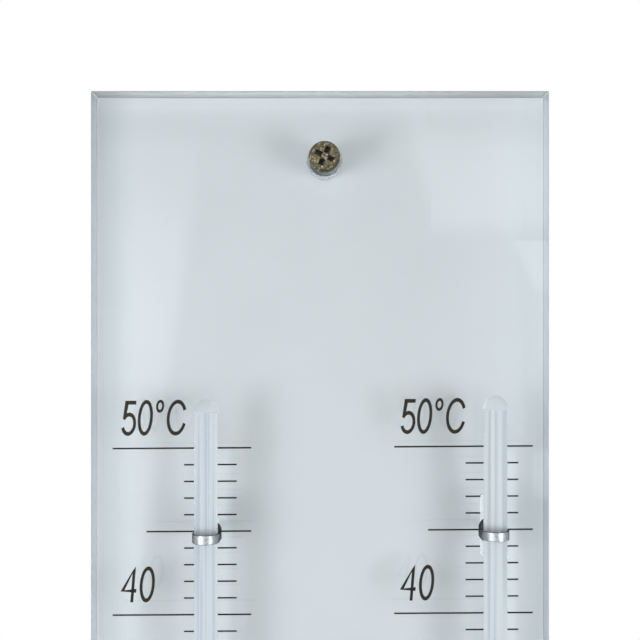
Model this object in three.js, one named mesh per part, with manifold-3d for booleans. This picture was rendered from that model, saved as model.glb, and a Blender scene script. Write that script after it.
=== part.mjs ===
// Wet and dry bulb hygrometer on a clear wall board.
// Millimetres, +Z up, the front faces -Y, and the origin is the middle of the back face on the wall.

import * as THREE from 'three';
import { mergeVertices } from 'three/addons/utils/BufferGeometryUtils.js';
import Module from 'manifold-3d';

const wasm = await Module();
wasm.setup();

// Board and the white sheet behind it
const boardWidth = 120;
const boardHeight = 420;
const boardThickness = 10;
const sheetThickness = 2;

// Mounting screws, each in a sleeve through the board
const mountInset = 18.2;
const mountOffset = 1.2;
const mountHeadDiameter = 8;
const mountHeadHeight = 3;
const mountShankDiameter = 4;
const sleeveDiameter = 7.8;
const sleeveBore = 4.6;
const sleeveProud = 3;
const mountHoleDiameter = 8.4;
const mountRecessSpan = 5.2;
const mountRecessWidth = 1.3;
const mountRecessDepth = 1.6;
const mountRecessTurn = THREE.MathUtils.degToRad(28);

// Scale that the thermometers are set against: its highest line below the board's top edge, and its
// zero line above the bottom edge
const fiftyLineInset = 93.5;
const zeroLineHeight = 108.5;
const scaleDegrees = 50;

// Thermometer stems
const stemDiameter = 6;
const stemTopInset = 80.2;
const bulbDrop = 30;
const bulbDiameter = 5.4;
const bulbLength = 15;
const bulbWall = 0.6;
const neckDiameter = 4.4;
const neckLength = 3;
const boreDiameter = 1.4;
const ventDiameter = 0.5;
const clearTop = 3.3;
const enamelDepth = 0.8;
const columnDiameter = 0.8;
const spiritGap = 0.2;

// Where each thermometer stands, what it reads, how far the tongue of its upper clip has turned,
// and how far the tongues of its clips reach above and below their screws
const wetX = -29;
const dryX = 44.7;
const dryRise = 0.8;
const wetTurn = THREE.MathUtils.degToRad(-7.5);
const thermometers = [
  { name: 'wet', x: wetX, rise: 0, degrees: 18, tongueTurn: wetTurn, tongueUp: 7.4, tongueDown: 3.2 },
  { name: 'dry', x: dryX, rise: dryRise, degrees: 24, tongueTurn: 0, tongueUp: 9.1, tongueDown: 7 },
];

// Band clips round the stems
const upperClipInset = 115.4;
const lowerClipAboveZero = 19.5;
const bandThickness = 0.4;
const bandHeight = 2.5;
const bandClearance = 0.1;
const eyeDiameter = 6;
const tongueWidth = 5.6;
const tongueThickness = 0.5;

// Pan-head screws of the clips and of the strap
const panDiameter = 6.3;
const panHeight = 2.1;
const panShankDiameter = 3;
const panThreadLength = 6;
const panHoleDiameter = 3.6;
const panHoleDepth = 7.4;
const panRecessSpan = 3.4;
const panRecessWidth = 0.8;
const panRecessDepth = 1.1;
const panRecessTurn = THREE.MathUtils.degToRad(20);
const panClearance = 0.3;

// Water vial, its cap and its strap
const vialDiameter = 19;
const vialWall = 1.2;
const vialFloor = 1.6;
const vialHeight = 45;
const vialMouthHeight = 53;
const rimHeight = 2.4;
const rimOverlap = 0.3;
const waterDepth = 24;
const capThickness = 2;
const plugDepth = 4;
const plugWall = 1;
const capHoleDiameter = 4.4;
const strapThickness = 0.8;
const strapHeight = 10;
const strapClearance = 0.3;
const earLength = 9;

// Muslin wick on the wet bulb
const wickThickness = 0.6;
const wickTailDiameter = 2.8;
const wickTailEndHeight = 26;
const wickTravelRoom = 15;
const tieHeight = 1.2;
const tieThickness = 0.5;

// Gaps between pieces that rest on each other, and the overrun of a cut
const seatGap = 0.2;
const touchGap = 0.1;
const overrun = 1;

// Smoothness of round pieces, in sides
const roundSides = 24;
const smallSides = 16;
const domeSteps = 4;

// Heights and depths that follow from the sizes above
const topEdge = boardHeight / 2;
const bottomEdge = -boardHeight / 2;
const boardBackY = -(sheetThickness + seatGap);
const frontY = boardBackY - boardThickness;
const fiftyLineZ = topEdge - fiftyLineInset;
const zeroLineZ = bottomEdge + zeroLineHeight;
const degreePitch = (fiftyLineZ - zeroLineZ) / scaleDegrees;
const stemRadius = stemDiameter / 2;
const clipBaseTop = touchGap + tongueThickness + bandThickness;
const panSeat = clipBaseTop + touchGap;
const strapSeat = touchGap + strapThickness + touchGap;
const stemAxisDepth = panSeat + panHeight + seatGap + stemRadius;
const stemAxisY = frontY - stemAxisDepth;
const stemTopZ = topEdge - stemTopInset;
const bulbEndZ = zeroLineZ - bulbDrop;
const upperClipZ = topEdge - upperClipInset;
const lowerClipZ = zeroLineZ + lowerClipAboveZero;
const mountTopZ = topEdge - mountInset;
const mountBottomZ = bottomEdge + mountInset;

// Vial places
const vialRadius = vialDiameter / 2;
const vialInner = vialRadius - vialWall;
const strapInner = vialRadius + strapClearance;
const strapOuter = strapInner + strapThickness;
const rimRadius = strapOuter + rimOverlap;
const vialAxisDepth = rimRadius + seatGap;
const vialAxisY = frontY - vialAxisDepth;
const vialMouthZ = bottomEdge + vialMouthHeight;
const vialBaseZ = vialMouthZ - vialHeight;
const strapTopZ = vialMouthZ - rimHeight - seatGap;
const wickTailEndZ = bottomEdge + wickTailEndHeight;
const strapScrewSpread = strapOuter + earLength / 2;

// A closed geometry with only positions, its shared corners merged and its empty triangles left out
function weld(geometry) {
  const plain = geometry.index ? geometry.toNonIndexed() : geometry.clone();
  plain.deleteAttribute('normal');
  plain.deleteAttribute('uv');
  const merged = mergeVertices(plain);
  const corners = merged.index.array;
  const kept = [];
  for (let i = 0; i < corners.length; i += 3) {
    const [a, b, c] = [corners[i], corners[i + 1], corners[i + 2]];
    if (a !== b && b !== c && c !== a) {
      kept.push(a, b, c);
    }
  }
  merged.setIndex(kept);
  return merged;
}

// A solid for cutting and joining, made from a closed geometry
function solidOf(geometry) {
  const welded = weld(geometry);
  const mesh = new wasm.Mesh({
    numProp: 3,
    vertProperties: new Float32Array(welded.attributes.position.array),
    triVerts: new Uint32Array(welded.index.array),
  });
  mesh.merge();
  return new wasm.Manifold(mesh);
}

// The geometry of a cut solid
function geometryOf(solid) {
  const mesh = solid.getMesh();
  const geometry = new THREE.BufferGeometry();
  geometry.setAttribute('position', new THREE.BufferAttribute(new Float32Array(mesh.vertProperties), 3));
  geometry.setIndex(new THREE.BufferAttribute(new Uint32Array(mesh.triVerts), 1));
  return geometry;
}

// A cylinder along Y from one depth to another
function rodAlongY(x, z, radius, fromY, toY, sides) {
  const rod = new THREE.CylinderGeometry(radius, radius, Math.abs(toY - fromY), sides);
  rod.translate(x, (fromY + toY) / 2, z);
  return rod;
}

// A round piece about Z from a profile of [radius, height] pairs
function turnedAboutZ(profile, sides) {
  const points = profile.map(([radius, height]) => new THREE.Vector2(radius, height));
  const turned = new THREE.LatheGeometry(points, sides);
  turned.rotateX(Math.PI / 2);
  return weld(turned);
}

// Points of a round end from the side, at its base height, in to a radius near the axis.
// way is 1 for an end that closes upwards and -1 for one that closes downwards.
function roundEnd(radius, endRadius, baseHeight, way) {
  const points = [];
  const lastAngle = Math.acos(endRadius / radius);
  for (let step = 0; step <= domeSteps; step += 1) {
    const angle = (lastAngle * step) / domeSteps;
    points.push([radius * Math.cos(angle), baseHeight + way * radius * Math.sin(angle)]);
  }
  return points;
}

// A screw along Y whose head faces -Y, its seat at y = 0, with a cross recess in the head
function crossScrew(sizes) {
  const tipShare = 0.6;
  const rimShare = 0.5;
  const domeShare = 0.9;
  const shank = sizes.shankDiameter / 2;
  const head = sizes.headDiameter / 2;
  const rim = sizes.headHeight * rimShare;
  const profile = [
    [0, -sizes.shankLength],
    [shank * tipShare, -sizes.shankLength],
    [shank, -sizes.shankLength + shank],
    [shank, 0],
    [head, 0],
    [head, rim],
    [head * domeShare, rim + (sizes.headHeight - rim) * domeShare],
    [head * rimShare, sizes.headHeight],
    [0, sizes.headHeight],
  ];
  const points = profile.map(([radius, height]) => new THREE.Vector2(radius, height));
  let screw = solidOf(new THREE.LatheGeometry(points, sizes.sides));
  for (const quarter of [0, 1]) {
    const arm = new THREE.BoxGeometry(sizes.recessSpan, 2 * sizes.recessDepth, sizes.recessWidth);
    arm.translate(0, sizes.headHeight, 0);
    arm.rotateY(sizes.recessTurn + (quarter * Math.PI) / 2);
    screw = screw.subtract(solidOf(arm));
  }
  const geometry = geometryOf(screw);
  geometry.rotateX(Math.PI);
  return geometry;
}

// The clear board, with its two sleeve holes and a blind hole for each pan-head screw
function boardGeometry(panHoles) {
  const slab = new THREE.BoxGeometry(boardWidth, boardThickness, boardHeight);
  slab.translate(0, (frontY + boardBackY) / 2, 0);
  let board = solidOf(slab);
  for (const z of [mountTopZ, mountBottomZ]) {
    const hole = rodAlongY(
      mountOffset, z, mountHoleDiameter / 2, frontY - overrun, boardBackY + overrun, roundSides);
    board = board.subtract(solidOf(hole));
  }
  for (const place of panHoles) {
    const hole = rodAlongY(
      place.x, place.z, panHoleDiameter / 2, frontY - overrun, frontY + panHoleDepth, smallSides);
    board = board.subtract(solidOf(hole));
  }
  return geometryOf(board);
}

// The white sheet, with a hole for each sleeve
function sheetGeometry() {
  const slab = new THREE.BoxGeometry(boardWidth, sheetThickness, boardHeight);
  slab.translate(0, -sheetThickness / 2, 0);
  let sheet = solidOf(slab);
  for (const z of [mountTopZ, mountBottomZ]) {
    const hole = rodAlongY(
      mountOffset, z, mountHoleDiameter / 2, -sheetThickness - overrun, overrun, roundSides);
    sheet = sheet.subtract(solidOf(hole));
  }
  return geometryOf(sheet);
}

// A plain tube along Y from the wall to a little way in front of the board
function sleeveGeometry() {
  const length = sleeveProud - frontY;
  const ring = new THREE.Shape();
  ring.absarc(0, 0, sleeveDiameter / 2, 0, 2 * Math.PI);
  const bore = new THREE.Path();
  bore.absarc(0, 0, sleeveBore / 2, 0, 2 * Math.PI);
  ring.holes.push(bore);
  const tube = new THREE.ExtrudeGeometry(ring, {
    depth: length,
    curveSegments: roundSides / 2,
    bevelEnabled: false,
  });
  tube.rotateX(Math.PI / 2);
  return tube;
}

// Glass stem about Z: bulb, neck and stem outside, the bulb's hollow, bore and vent inside,
// with the back of the stem cut away for the enamel
function glassGeometry() {
  const bulb = bulbDiameter / 2;
  const bulbTop = bulbEndZ + bulbLength;
  const neckTop = bulbTop + neckLength;
  const stemStart = neckTop + stemRadius - neckDiameter / 2;
  const domeBase = stemTopZ - stemRadius;
  const hollow = bulb - bulbWall;
  const bore = boreDiameter / 2;
  const enamelTop = stemTopZ - clearTop;
  const neckShare = 0.5;
  const bulbShoulder = bulb - neckDiameter / 2;
  const bulbCentre = bulbEndZ + bulb;
  const profile = [
    ...roundEnd(bulb, 0, bulbCentre, -1).reverse(),
    [bulb, bulbTop - bulbShoulder],
    [neckDiameter / 2, bulbTop],
    [neckDiameter / 2, neckTop],
    [stemRadius, stemStart],
    ...roundEnd(stemRadius, ventDiameter / 2, domeBase, 1),
    [ventDiameter / 2, enamelTop],
    [bore, enamelTop - bore],
    [bore, bulbTop + neckLength * neckShare],
    [hollow, bulbTop - bulbShoulder - bulbWall],
    ...roundEnd(hollow, 0, bulbCentre, -1),
  ];
  let glass = solidOf(turnedAboutZ(profile, roundSides));
  const cutDepth = enamelDepth + touchGap;
  const cutTop = enamelTop + touchGap;
  const cut = new THREE.BoxGeometry(stemDiameter + overrun, cutDepth + overrun, cutTop - stemStart);
  cut.translate(0, stemRadius + (overrun - cutDepth) / 2, (cutTop + stemStart) / 2);
  glass = glass.subtract(solidOf(cut));
  return geometryOf(glass);
}

// White strip that completes the round of the stem at its back
function enamelGeometry() {
  const neckTop = bulbEndZ + bulbLength + neckLength;
  const stemStart = neckTop + stemRadius - neckDiameter / 2 + touchGap;
  const enamelTop = stemTopZ - clearTop;
  const flat = stemRadius - enamelDepth;
  const half = Math.acos(flat / stemRadius);
  const segment = new THREE.Shape();
  segment.absarc(0, 0, stemRadius, Math.PI / 2 - half, Math.PI / 2 + half);
  segment.closePath();
  const strip = new THREE.ExtrudeGeometry(segment, {
    depth: enamelTop - stemStart,
    curveSegments: smallSides / 2,
    bevelEnabled: false,
  });
  strip.translate(0, 0, stemStart);
  return strip;
}

// Dyed spirit: the fill of the bulb and a thin column up to the reading
function spiritGeometry(columnTop) {
  const fill = bulbDiameter / 2 - bulbWall - spiritGap;
  const column = columnDiameter / 2;
  const bulb = bulbDiameter / 2;
  const bulbTop = bulbEndZ + bulbLength;
  const fillTop = bulbTop - bulbWall - bulb + fill - spiritGap;
  const profile = [
    ...roundEnd(fill, 0, bulbEndZ + bulb, -1).reverse(),
    [fill, fillTop - fill],
    [column, fillTop],
    [column, columnTop],
    [0, columnTop],
  ];
  return turnedAboutZ(profile, smallSides);
}

// Band clip: a loop round the stem whose base lies on a flat tongue, both held by one screw.
// The tongue reaches further above the screw than below, and may be turned a little about it.
function clipGeometry(tongueTurn, tongueUp, tongueDown) {
  const baseInner = panDiameter / 2 + panClearance;
  const baseOuter = baseInner + bandThickness;
  const loopInner = stemRadius + bandClearance;
  const loopOuter = loopInner + bandThickness;
  const baseLow = touchGap + tongueThickness / 2;
  const shoulder = panSeat + panHeight;
  const loop = new THREE.Shape();
  loop.moveTo(baseOuter, -baseLow);
  loop.lineTo(-baseOuter, -baseLow);
  loop.lineTo(-baseOuter, -shoulder);
  loop.absarc(0, -stemAxisDepth, loopOuter, Math.PI, 2 * Math.PI);
  loop.lineTo(baseOuter, -shoulder);
  loop.closePath();
  const inside = new THREE.Path();
  inside.moveTo(baseInner, -clipBaseTop);
  inside.lineTo(-baseInner, -clipBaseTop);
  inside.lineTo(-baseInner, -shoulder);
  inside.absarc(0, -stemAxisDepth, loopInner, Math.PI, 2 * Math.PI);
  inside.lineTo(baseInner, -shoulder);
  inside.closePath();
  loop.holes.push(inside);
  const band = new THREE.ExtrudeGeometry(loop, {
    depth: bandHeight,
    curveSegments: smallSides,
    bevelEnabled: false,
  });
  band.translate(0, 0, -bandHeight / 2);

  // The strip swells into a round eye under the head of the screw
  const eye = rodAlongY(0, 0, eyeDiameter / 2, -baseLow, -clipBaseTop, roundSides);
  const tongue = new THREE.BoxGeometry(tongueWidth, tongueThickness, tongueUp + tongueDown);
  tongue.translate(0, -touchGap - tongueThickness / 2, (tongueUp - tongueDown) / 2);
  tongue.rotateY(tongueTurn);
  const hole = rodAlongY(0, 0, panHoleDiameter / 2, overrun, -clipBaseTop - overrun, smallSides);
  const strip = solidOf(band).add(solidOf(eye)).add(solidOf(tongue));
  return geometryOf(strip.subtract(solidOf(hole)));
}

// Strap round the vial, with an ear on each side and a screw hole in each ear
function strapGeometry() {
  const earEnd = strapOuter + earLength;
  const low = touchGap;
  const high = touchGap + strapThickness;
  const outline = new THREE.Shape();
  outline.moveTo(-earEnd, -low);
  outline.lineTo(-strapInner, -low);
  outline.lineTo(-strapInner, -vialAxisDepth);
  outline.absarc(0, -vialAxisDepth, strapInner, Math.PI, 2 * Math.PI);
  outline.lineTo(strapInner, -low);
  outline.lineTo(earEnd, -low);
  outline.lineTo(earEnd, -high);
  outline.lineTo(strapOuter, -high);
  outline.lineTo(strapOuter, -vialAxisDepth);
  outline.absarc(0, -vialAxisDepth, strapOuter, 0, -Math.PI, true);
  outline.lineTo(-strapOuter, -high);
  outline.lineTo(-earEnd, -high);
  outline.closePath();
  const band = new THREE.ExtrudeGeometry(outline, {
    depth: strapHeight,
    curveSegments: smallSides,
    bevelEnabled: false,
  });
  band.translate(0, 0, -strapHeight / 2);
  let strap = solidOf(band);
  for (const side of [-1, 1]) {
    const hole = rodAlongY(
      side * strapScrewSpread, 0, panHoleDiameter / 2, overrun, -high - overrun, smallSides);
    strap = strap.subtract(solidOf(hole));
  }
  return geometryOf(strap);
}

// Glass vial about Z, open at the top, with a rim that rests on the strap
function vialGeometry() {
  const edgeShare = 0.5;
  const edge = vialWall * edgeShare;
  const profile = [
    [0, 0],
    [vialRadius - edge, 0],
    [vialRadius, edge],
    [vialRadius, vialHeight - rimHeight],
    [rimRadius, vialHeight - rimHeight],
    [rimRadius, vialHeight],
    [vialInner, vialHeight],
    [vialInner, vialFloor + edge],
    [vialInner - edge, vialFloor],
    [0, vialFloor],
  ];
  return turnedAboutZ(profile, roundSides);
}

// Water in the vial, with room round the wick
function waterGeometry() {
  const edgeShare = 0.5;
  const edge = vialWall * edgeShare;
  const radius = vialInner - seatGap;
  const low = vialFloor + seatGap;
  const profile = [
    [0, low],
    [radius - edge, low],
    [radius, low + edge],
    [radius, low + waterDepth],
    [0, low + waterDepth],
  ];
  const pitTop = low + waterDepth + overrun;
  const pitLow = wickTailEndZ - wickTravelRoom - vialBaseZ;
  const room = wickTailDiameter / 2 + seatGap;
  const pit = new THREE.CylinderGeometry(room, room, pitTop - pitLow, smallSides);
  pit.rotateX(Math.PI / 2);
  pit.translate(0, stemAxisY - vialAxisY, (pitTop + pitLow) / 2);
  return geometryOf(solidOf(turnedAboutZ(profile, roundSides)).subtract(solidOf(pit)));
}

// Push-in cap with a hollow plug and a hole for the wick
function capGeometry() {
  const edgeShare = 0.3;
  const edge = capThickness * edgeShare;
  const plugRadius = vialInner - seatGap;
  const profile = [
    [0, 0],
    [plugRadius - plugWall, 0],
    [plugRadius - plugWall, -plugDepth],
    [plugRadius, -plugDepth],
    [plugRadius, 0],
    [rimRadius, 0],
    [rimRadius, capThickness - edge],
    [rimRadius - edge, capThickness],
    [0, capThickness],
  ];
  const hole = new THREE.CylinderGeometry(
    capHoleDiameter / 2, capHoleDiameter / 2, capThickness + plugDepth + 2 * overrun, smallSides);
  hole.rotateX(Math.PI / 2);
  hole.translate(0, stemAxisY - vialAxisY, (capThickness - plugDepth) / 2);
  return geometryOf(solidOf(turnedAboutZ(profile, roundSides)).subtract(solidOf(hole)));
}

// Muslin wick about Z: a sleeve over the bulb, tied at the neck, and a tail below it
function wickGeometry() {
  const inner = bulbDiameter / 2 + seatGap;
  const outer = inner + wickThickness;
  const neckInner = neckDiameter / 2 + seatGap;
  const neckOuter = neckInner + wickThickness;
  const bulbTop = bulbEndZ + bulbLength;
  const tail = wickTailDiameter / 2;
  const bulbCentre = bulbEndZ + bulbDiameter / 2;
  const profile = [
    [0, wickTailEndZ],
    [tail, wickTailEndZ],
    ...roundEnd(outer, tail, bulbCentre, -1).reverse(),
    [outer, bulbTop - outer + neckOuter],
    [neckOuter, bulbTop + wickThickness],
    [neckOuter, bulbTop + neckLength],
    [neckInner, bulbTop + neckLength],
    [neckInner, bulbTop],
    [inner, bulbTop - inner + neckInner],
    ...roundEnd(inner, 0, bulbCentre, -1),
  ];
  return turnedAboutZ(profile, smallSides);
}

// Thread tie: a ring of thread round the neck of the wick
function tieGeometry() {
  const inner = neckDiameter / 2 + seatGap + wickThickness + touchGap;
  const edgeShare = 0.3;
  const edge = tieThickness * edgeShare;
  const profile = [
    [inner, 0],
    [inner + tieThickness - edge, 0],
    [inner + tieThickness, edge],
    [inner + tieThickness, tieHeight - edge],
    [inner + tieThickness - edge, tieHeight],
    [inner, tieHeight],
    [inner, 0],
  ];
  return turnedAboutZ(profile, smallSides);
}

// Finishes
function finish(color, roughness, metalness, opacity = 1) {
  return new THREE.MeshStandardMaterial({
    color,
    roughness,
    metalness,
    opacity,
    transparent: opacity < 1,
  });
}

// A named piece at a place in a group
function addPiece(group, name, geometry, material, x, y, z) {
  const mesh = new THREE.Mesh(geometry, material);
  mesh.name = name;
  mesh.position.set(x, y, z);
  group.add(mesh);
  return mesh;
}

const hygrometer = new THREE.Group();

// Places of the pan-head screws: two for each thermometer and two in the strap
const clipPlaces = thermometers.flatMap(({ name, x, rise, tongueTurn, tongueUp, tongueDown }) => [
  { name: `${name}_upper`, x, z: upperClipZ + rise, tongueTurn, tongueUp, tongueDown },
  { name: `${name}_lower`, x, z: lowerClipZ + rise, tongueTurn: 0, tongueUp, tongueDown },
]);
const strapZ = strapTopZ - strapHeight / 2;
const strapScrews = [
  { name: 'strap_screw_left', x: wetX - strapScrewSpread, z: strapZ },
  { name: 'strap_screw_right', x: wetX + strapScrewSpread, z: strapZ },
];

// Board, sheet and the two fixings
const boardGroup = new THREE.Group();
hygrometer.add(boardGroup);
addPiece(boardGroup, 'clear_board', boardGeometry([...clipPlaces, ...strapScrews]),
  finish(0xd5dee2, 0.08, 0, 0.35), 0, 0, 0);
addPiece(boardGroup, 'white_back', sheetGeometry(), finish(0xeef0f0, 0.6, 0), 0, 0, 0);
const fixings = [
  { name: 'top', z: mountTopZ },
  { name: 'bottom', z: mountBottomZ },
];
for (const { name, z } of fixings) {
  addPiece(boardGroup, `${name}_sleeve`, sleeveGeometry(), finish(0x8d9396, 0.4, 0.9), mountOffset, 0, z);
  const screw = crossScrew({
    headDiameter: mountHeadDiameter,
    headHeight: mountHeadHeight,
    shankDiameter: mountShankDiameter,
    shankLength: sleeveProud - frontY,
    recessSpan: mountRecessSpan,
    recessWidth: mountRecessWidth,
    recessDepth: mountRecessDepth,
    recessTurn: mountRecessTurn,
    sides: roundSides,
  });
  addPiece(boardGroup, `${name}_mount_screw`, screw, finish(0x8a7b45, 0.45, 0.9),
    mountOffset, frontY - sleeveProud - touchGap, z);
}

// Clips and their screws
for (const { name, x, z, tongueTurn, tongueUp, tongueDown } of clipPlaces) {
  const clip = clipGeometry(tongueTurn, tongueUp, tongueDown);
  addPiece(boardGroup, `${name}_clip`, clip, finish(0xc9cdd0, 0.25, 0.95), x, frontY, z);
}
const panScrewPlaces = [
  ...clipPlaces.map(({ name, x, z }) => ({ name: `${name}_screw`, x, z, seat: panSeat })),
  ...strapScrews.map(({ name, x, z }) => ({ name, x, z, seat: strapSeat })),
];
for (const { name, x, z, seat } of panScrewPlaces) {
  const screw = crossScrew({
    headDiameter: panDiameter,
    headHeight: panHeight,
    shankDiameter: panShankDiameter,
    shankLength: panThreadLength + seat,
    recessSpan: panRecessSpan,
    recessWidth: panRecessWidth,
    recessDepth: panRecessDepth,
    recessTurn: panRecessTurn,
    sides: smallSides,
  });
  addPiece(boardGroup, name, screw, finish(0x33373a, 0.4, 0.8), x, frontY - seat, z);
}

// Thermometers
for (const { name, x, rise, degrees } of thermometers) {
  const stem = new THREE.Group();
  stem.position.set(x, stemAxisY, rise);
  hygrometer.add(stem);
  addPiece(stem, `${name}_glass`, glassGeometry(), finish(0xdfe8ee, 0.05, 0, 0.4), 0, 0, 0);
  addPiece(stem, `${name}_enamel`, enamelGeometry(), finish(0xf2f5f7, 0.4, 0), 0, 0, 0);
  const columnTop = zeroLineZ + degrees * degreePitch;
  addPiece(stem, `${name}_spirit`, spiritGeometry(columnTop), finish(0xb3201c, 0.2, 0), 0, 0, 0);
}

// Wick and its tie, on the wet thermometer
const wickGroup = new THREE.Group();
wickGroup.position.set(wetX, stemAxisY, 0);
hygrometer.add(wickGroup);
addPiece(wickGroup, 'wick', wickGeometry(), finish(0xece8dc, 0.95, 0), 0, 0, 0);
const tieShare = 0.4;
const tieZ = bulbEndZ + bulbLength + wickThickness + (neckLength - tieHeight) * tieShare;
addPiece(wickGroup, 'wick_tie', tieGeometry(), finish(0xf4f1e8, 0.9, 0), 0, 0, tieZ);

// Vial, water, cap and strap
const vialGroup = new THREE.Group();
vialGroup.position.set(wetX, vialAxisY, vialBaseZ);
hygrometer.add(vialGroup);
addPiece(vialGroup, 'reservoir_vial', vialGeometry(), finish(0xdde8ec, 0.05, 0, 0.35), 0, 0, 0);
addPiece(vialGroup, 'reservoir_water', waterGeometry(), finish(0xcfe2ea, 0.02, 0, 0.4), 0, 0, 0);
addPiece(vialGroup, 'reservoir_cap', capGeometry(), finish(0xf0f1f0, 0.35, 0),
  0, 0, vialHeight + seatGap);
addPiece(hygrometer, 'reservoir_strap', strapGeometry(), finish(0xc9cdd0, 0.25, 0.95),
  wetX, frontY, strapZ);

export default hygrometer;
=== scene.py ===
from math import acos, copysign, cos, degrees, hypot, pi, radians, sin, sqrt, tan, tau

import bmesh
import bpy
from mathutils import Matrix, Vector, noise


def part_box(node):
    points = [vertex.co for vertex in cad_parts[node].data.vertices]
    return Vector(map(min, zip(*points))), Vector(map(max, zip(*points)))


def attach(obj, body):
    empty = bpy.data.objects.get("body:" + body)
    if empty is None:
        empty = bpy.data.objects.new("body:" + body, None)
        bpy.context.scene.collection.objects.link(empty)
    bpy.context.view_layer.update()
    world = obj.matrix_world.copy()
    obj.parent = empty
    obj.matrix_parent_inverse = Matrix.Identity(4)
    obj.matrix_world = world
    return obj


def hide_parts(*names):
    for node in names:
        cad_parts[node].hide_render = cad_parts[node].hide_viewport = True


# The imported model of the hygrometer, which every piece below is placed by.
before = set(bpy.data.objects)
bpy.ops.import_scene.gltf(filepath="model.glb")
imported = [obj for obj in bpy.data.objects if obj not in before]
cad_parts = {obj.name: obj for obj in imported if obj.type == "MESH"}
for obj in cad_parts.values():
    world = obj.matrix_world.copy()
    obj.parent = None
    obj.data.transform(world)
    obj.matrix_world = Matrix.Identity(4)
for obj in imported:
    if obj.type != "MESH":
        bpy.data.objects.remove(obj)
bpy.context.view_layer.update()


# ---------------------------------------------------------------- White backing sheet
# A 2 mm sheet of white plastic as large as the clear board, saw-cut and drilled with it.
# It lies flat on the wall, and the sleeves of the two mounting screws pass through it.

MM = 0.001
SHEET_EDGE = 0.15
SLEEVE_HOLE_RADIUS = 4.02
OVERRUN = 1.0
ACROSS = (-0.06, 0.06)
PLAIN_TONE = 0.89
SHADED_TONE = 0.86
UPPER_TONE = 0.90


def corners_of(node):
    """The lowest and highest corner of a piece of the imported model, in millimetres."""
    low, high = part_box(node)
    return Vector(low) / MM, Vector(high) / MM


def centre_of(node):
    low, high = corners_of(node)
    return (low + high) / 2


def mesh_of(shape):
    mesh = bpy.data.meshes.new("shape")
    shape.to_mesh(mesh)
    shape.free()
    return mesh


def ease(shape, edges, reach, steps=2):
    bmesh.ops.bevel(shape, geom=edges, offset=reach, segments=steps, profile=0.5, affect="EDGES")


def block(low, high):
    shape = bmesh.new()
    bmesh.ops.create_cube(shape, size=1.0)
    bmesh.ops.scale(shape, vec=high - low, verts=shape.verts)
    bmesh.ops.translate(shape, vec=(low + high) / 2, verts=shape.verts)
    return shape


def eased_block(low, high, edge):
    shape = block(low, high)
    ease(shape, shape.edges[:], edge)
    return mesh_of(shape)


def skin(rings, closed=False, capped=False):
    """A mesh over rings of points, each joined to the next one. A ring of one point is a tip."""
    shape = bmesh.new()
    rings = [[shape.verts.new(point) for point in ring] for ring in rings]
    for here, there in zip(rings, rings[1:] + rings[:1] if closed else rings[1:]):
        sides = max(len(here), len(there))
        for side in range(sides):
            after = (side + 1) % sides
            corners = list(dict.fromkeys([
                here[side % len(here)], here[after % len(here)],
                there[after % len(there)], there[side % len(there)]]))
            if len(corners) > 2:
                shape.faces.new(corners)
    if capped:
        shape.faces.new(rings[0][::-1])
        shape.faces.new(rings[-1])
    bmesh.ops.recalc_face_normals(shape, faces=shape.faces[:])
    return mesh_of(shape)


def on_ring(radius, turn, z):
    return Vector((radius * cos(turn), radius * sin(turn), z))


def turned(outline, sides, ragged=None):
    """A round mesh about Z from (radius, height) points. ragged(radius, height, turn) may shift a radius."""
    closed = outline[0] == outline[-1]
    rings = []
    for radius, height in outline[:-1] if closed else outline:
        ring = []
        for side in range(sides if radius > 1e-6 else 1):
            turn = tau * side / sides
            ring.append(on_ring(ragged(radius, height, turn) if ragged else radius, turn, height))
        rings.append(ring)
    return skin(rings, closed)


def drill(radius, start, end, sides=32):
    return turned([(0, start), (radius, start), (radius, end), (0, end)], sides)


def placed(mesh, place, angle=0.0, axis="X"):
    """Turn a mesh about its origin and set that in place. 90 degrees about X points its height forward."""
    mesh.transform(Matrix.Translation(place) @ Matrix.Rotation(radians(angle), 4, axis))
    return mesh


def in_scene(name, data):
    thing = bpy.data.objects.new(name, data)
    bpy.context.scene.collection.objects.link(thing)
    return thing


def modified(mesh, kind, **settings):
    """A mesh as one modifier leaves it."""
    stock = in_scene("stock", mesh)
    step = stock.modifiers.new("step", kind)
    for setting, value in settings.items():
        setattr(step, setting, value)
    bpy.context.view_layer.update()
    ready = stock.evaluated_get(bpy.context.evaluated_depsgraph_get())
    result = bpy.data.meshes.new_from_object(ready)
    bpy.data.objects.remove(stock)
    return result


def worked(blank, tool, way="DIFFERENCE"):
    """One closed mesh cut by another or joined with it."""
    cutter = in_scene("cutter", tool)
    result = modified(blank, "BOOLEAN", operation=way, solver="EXACT", object=cutter)
    bpy.data.objects.remove(cutter)
    return result


def put(name, mesh, finishes, body, node, crease=35.0):
    """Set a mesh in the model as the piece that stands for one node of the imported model. Rounded parts
    are shaded smoothly, and broad flat faces stay flat, so that they mirror straight."""
    mesh.shade_smooth()
    mesh.set_sharp_from_angle(angle=radians(crease))
    mesh = modified(mesh, "WEIGHTED_NORMAL", mode="FACE_AREA", weight=80, keep_sharp=True)
    mesh.transform(Matrix.Scale(MM, 4))
    mesh.name = name
    finish_of_face = [face.material_index for face in mesh.polygons]
    mesh.materials.clear()
    for finish in finishes:
        mesh.materials.append(finish)
    for face, place in zip(mesh.polygons, finish_of_face):
        face.material_index = place
    piece = in_scene(name, mesh)
    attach(piece, body)
    if node:
        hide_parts(node)


def surface_of(look):
    return look.node_tree.nodes["Principled BSDF"]


def lead(look, value, node, socket):
    """Lead the output of another node into a socket, or set the socket to a plain value."""
    if isinstance(value, bpy.types.NodeSocket):
        look.node_tree.links.new(value, node.inputs[socket])
    else:
        node.inputs[socket].default_value = value


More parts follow.
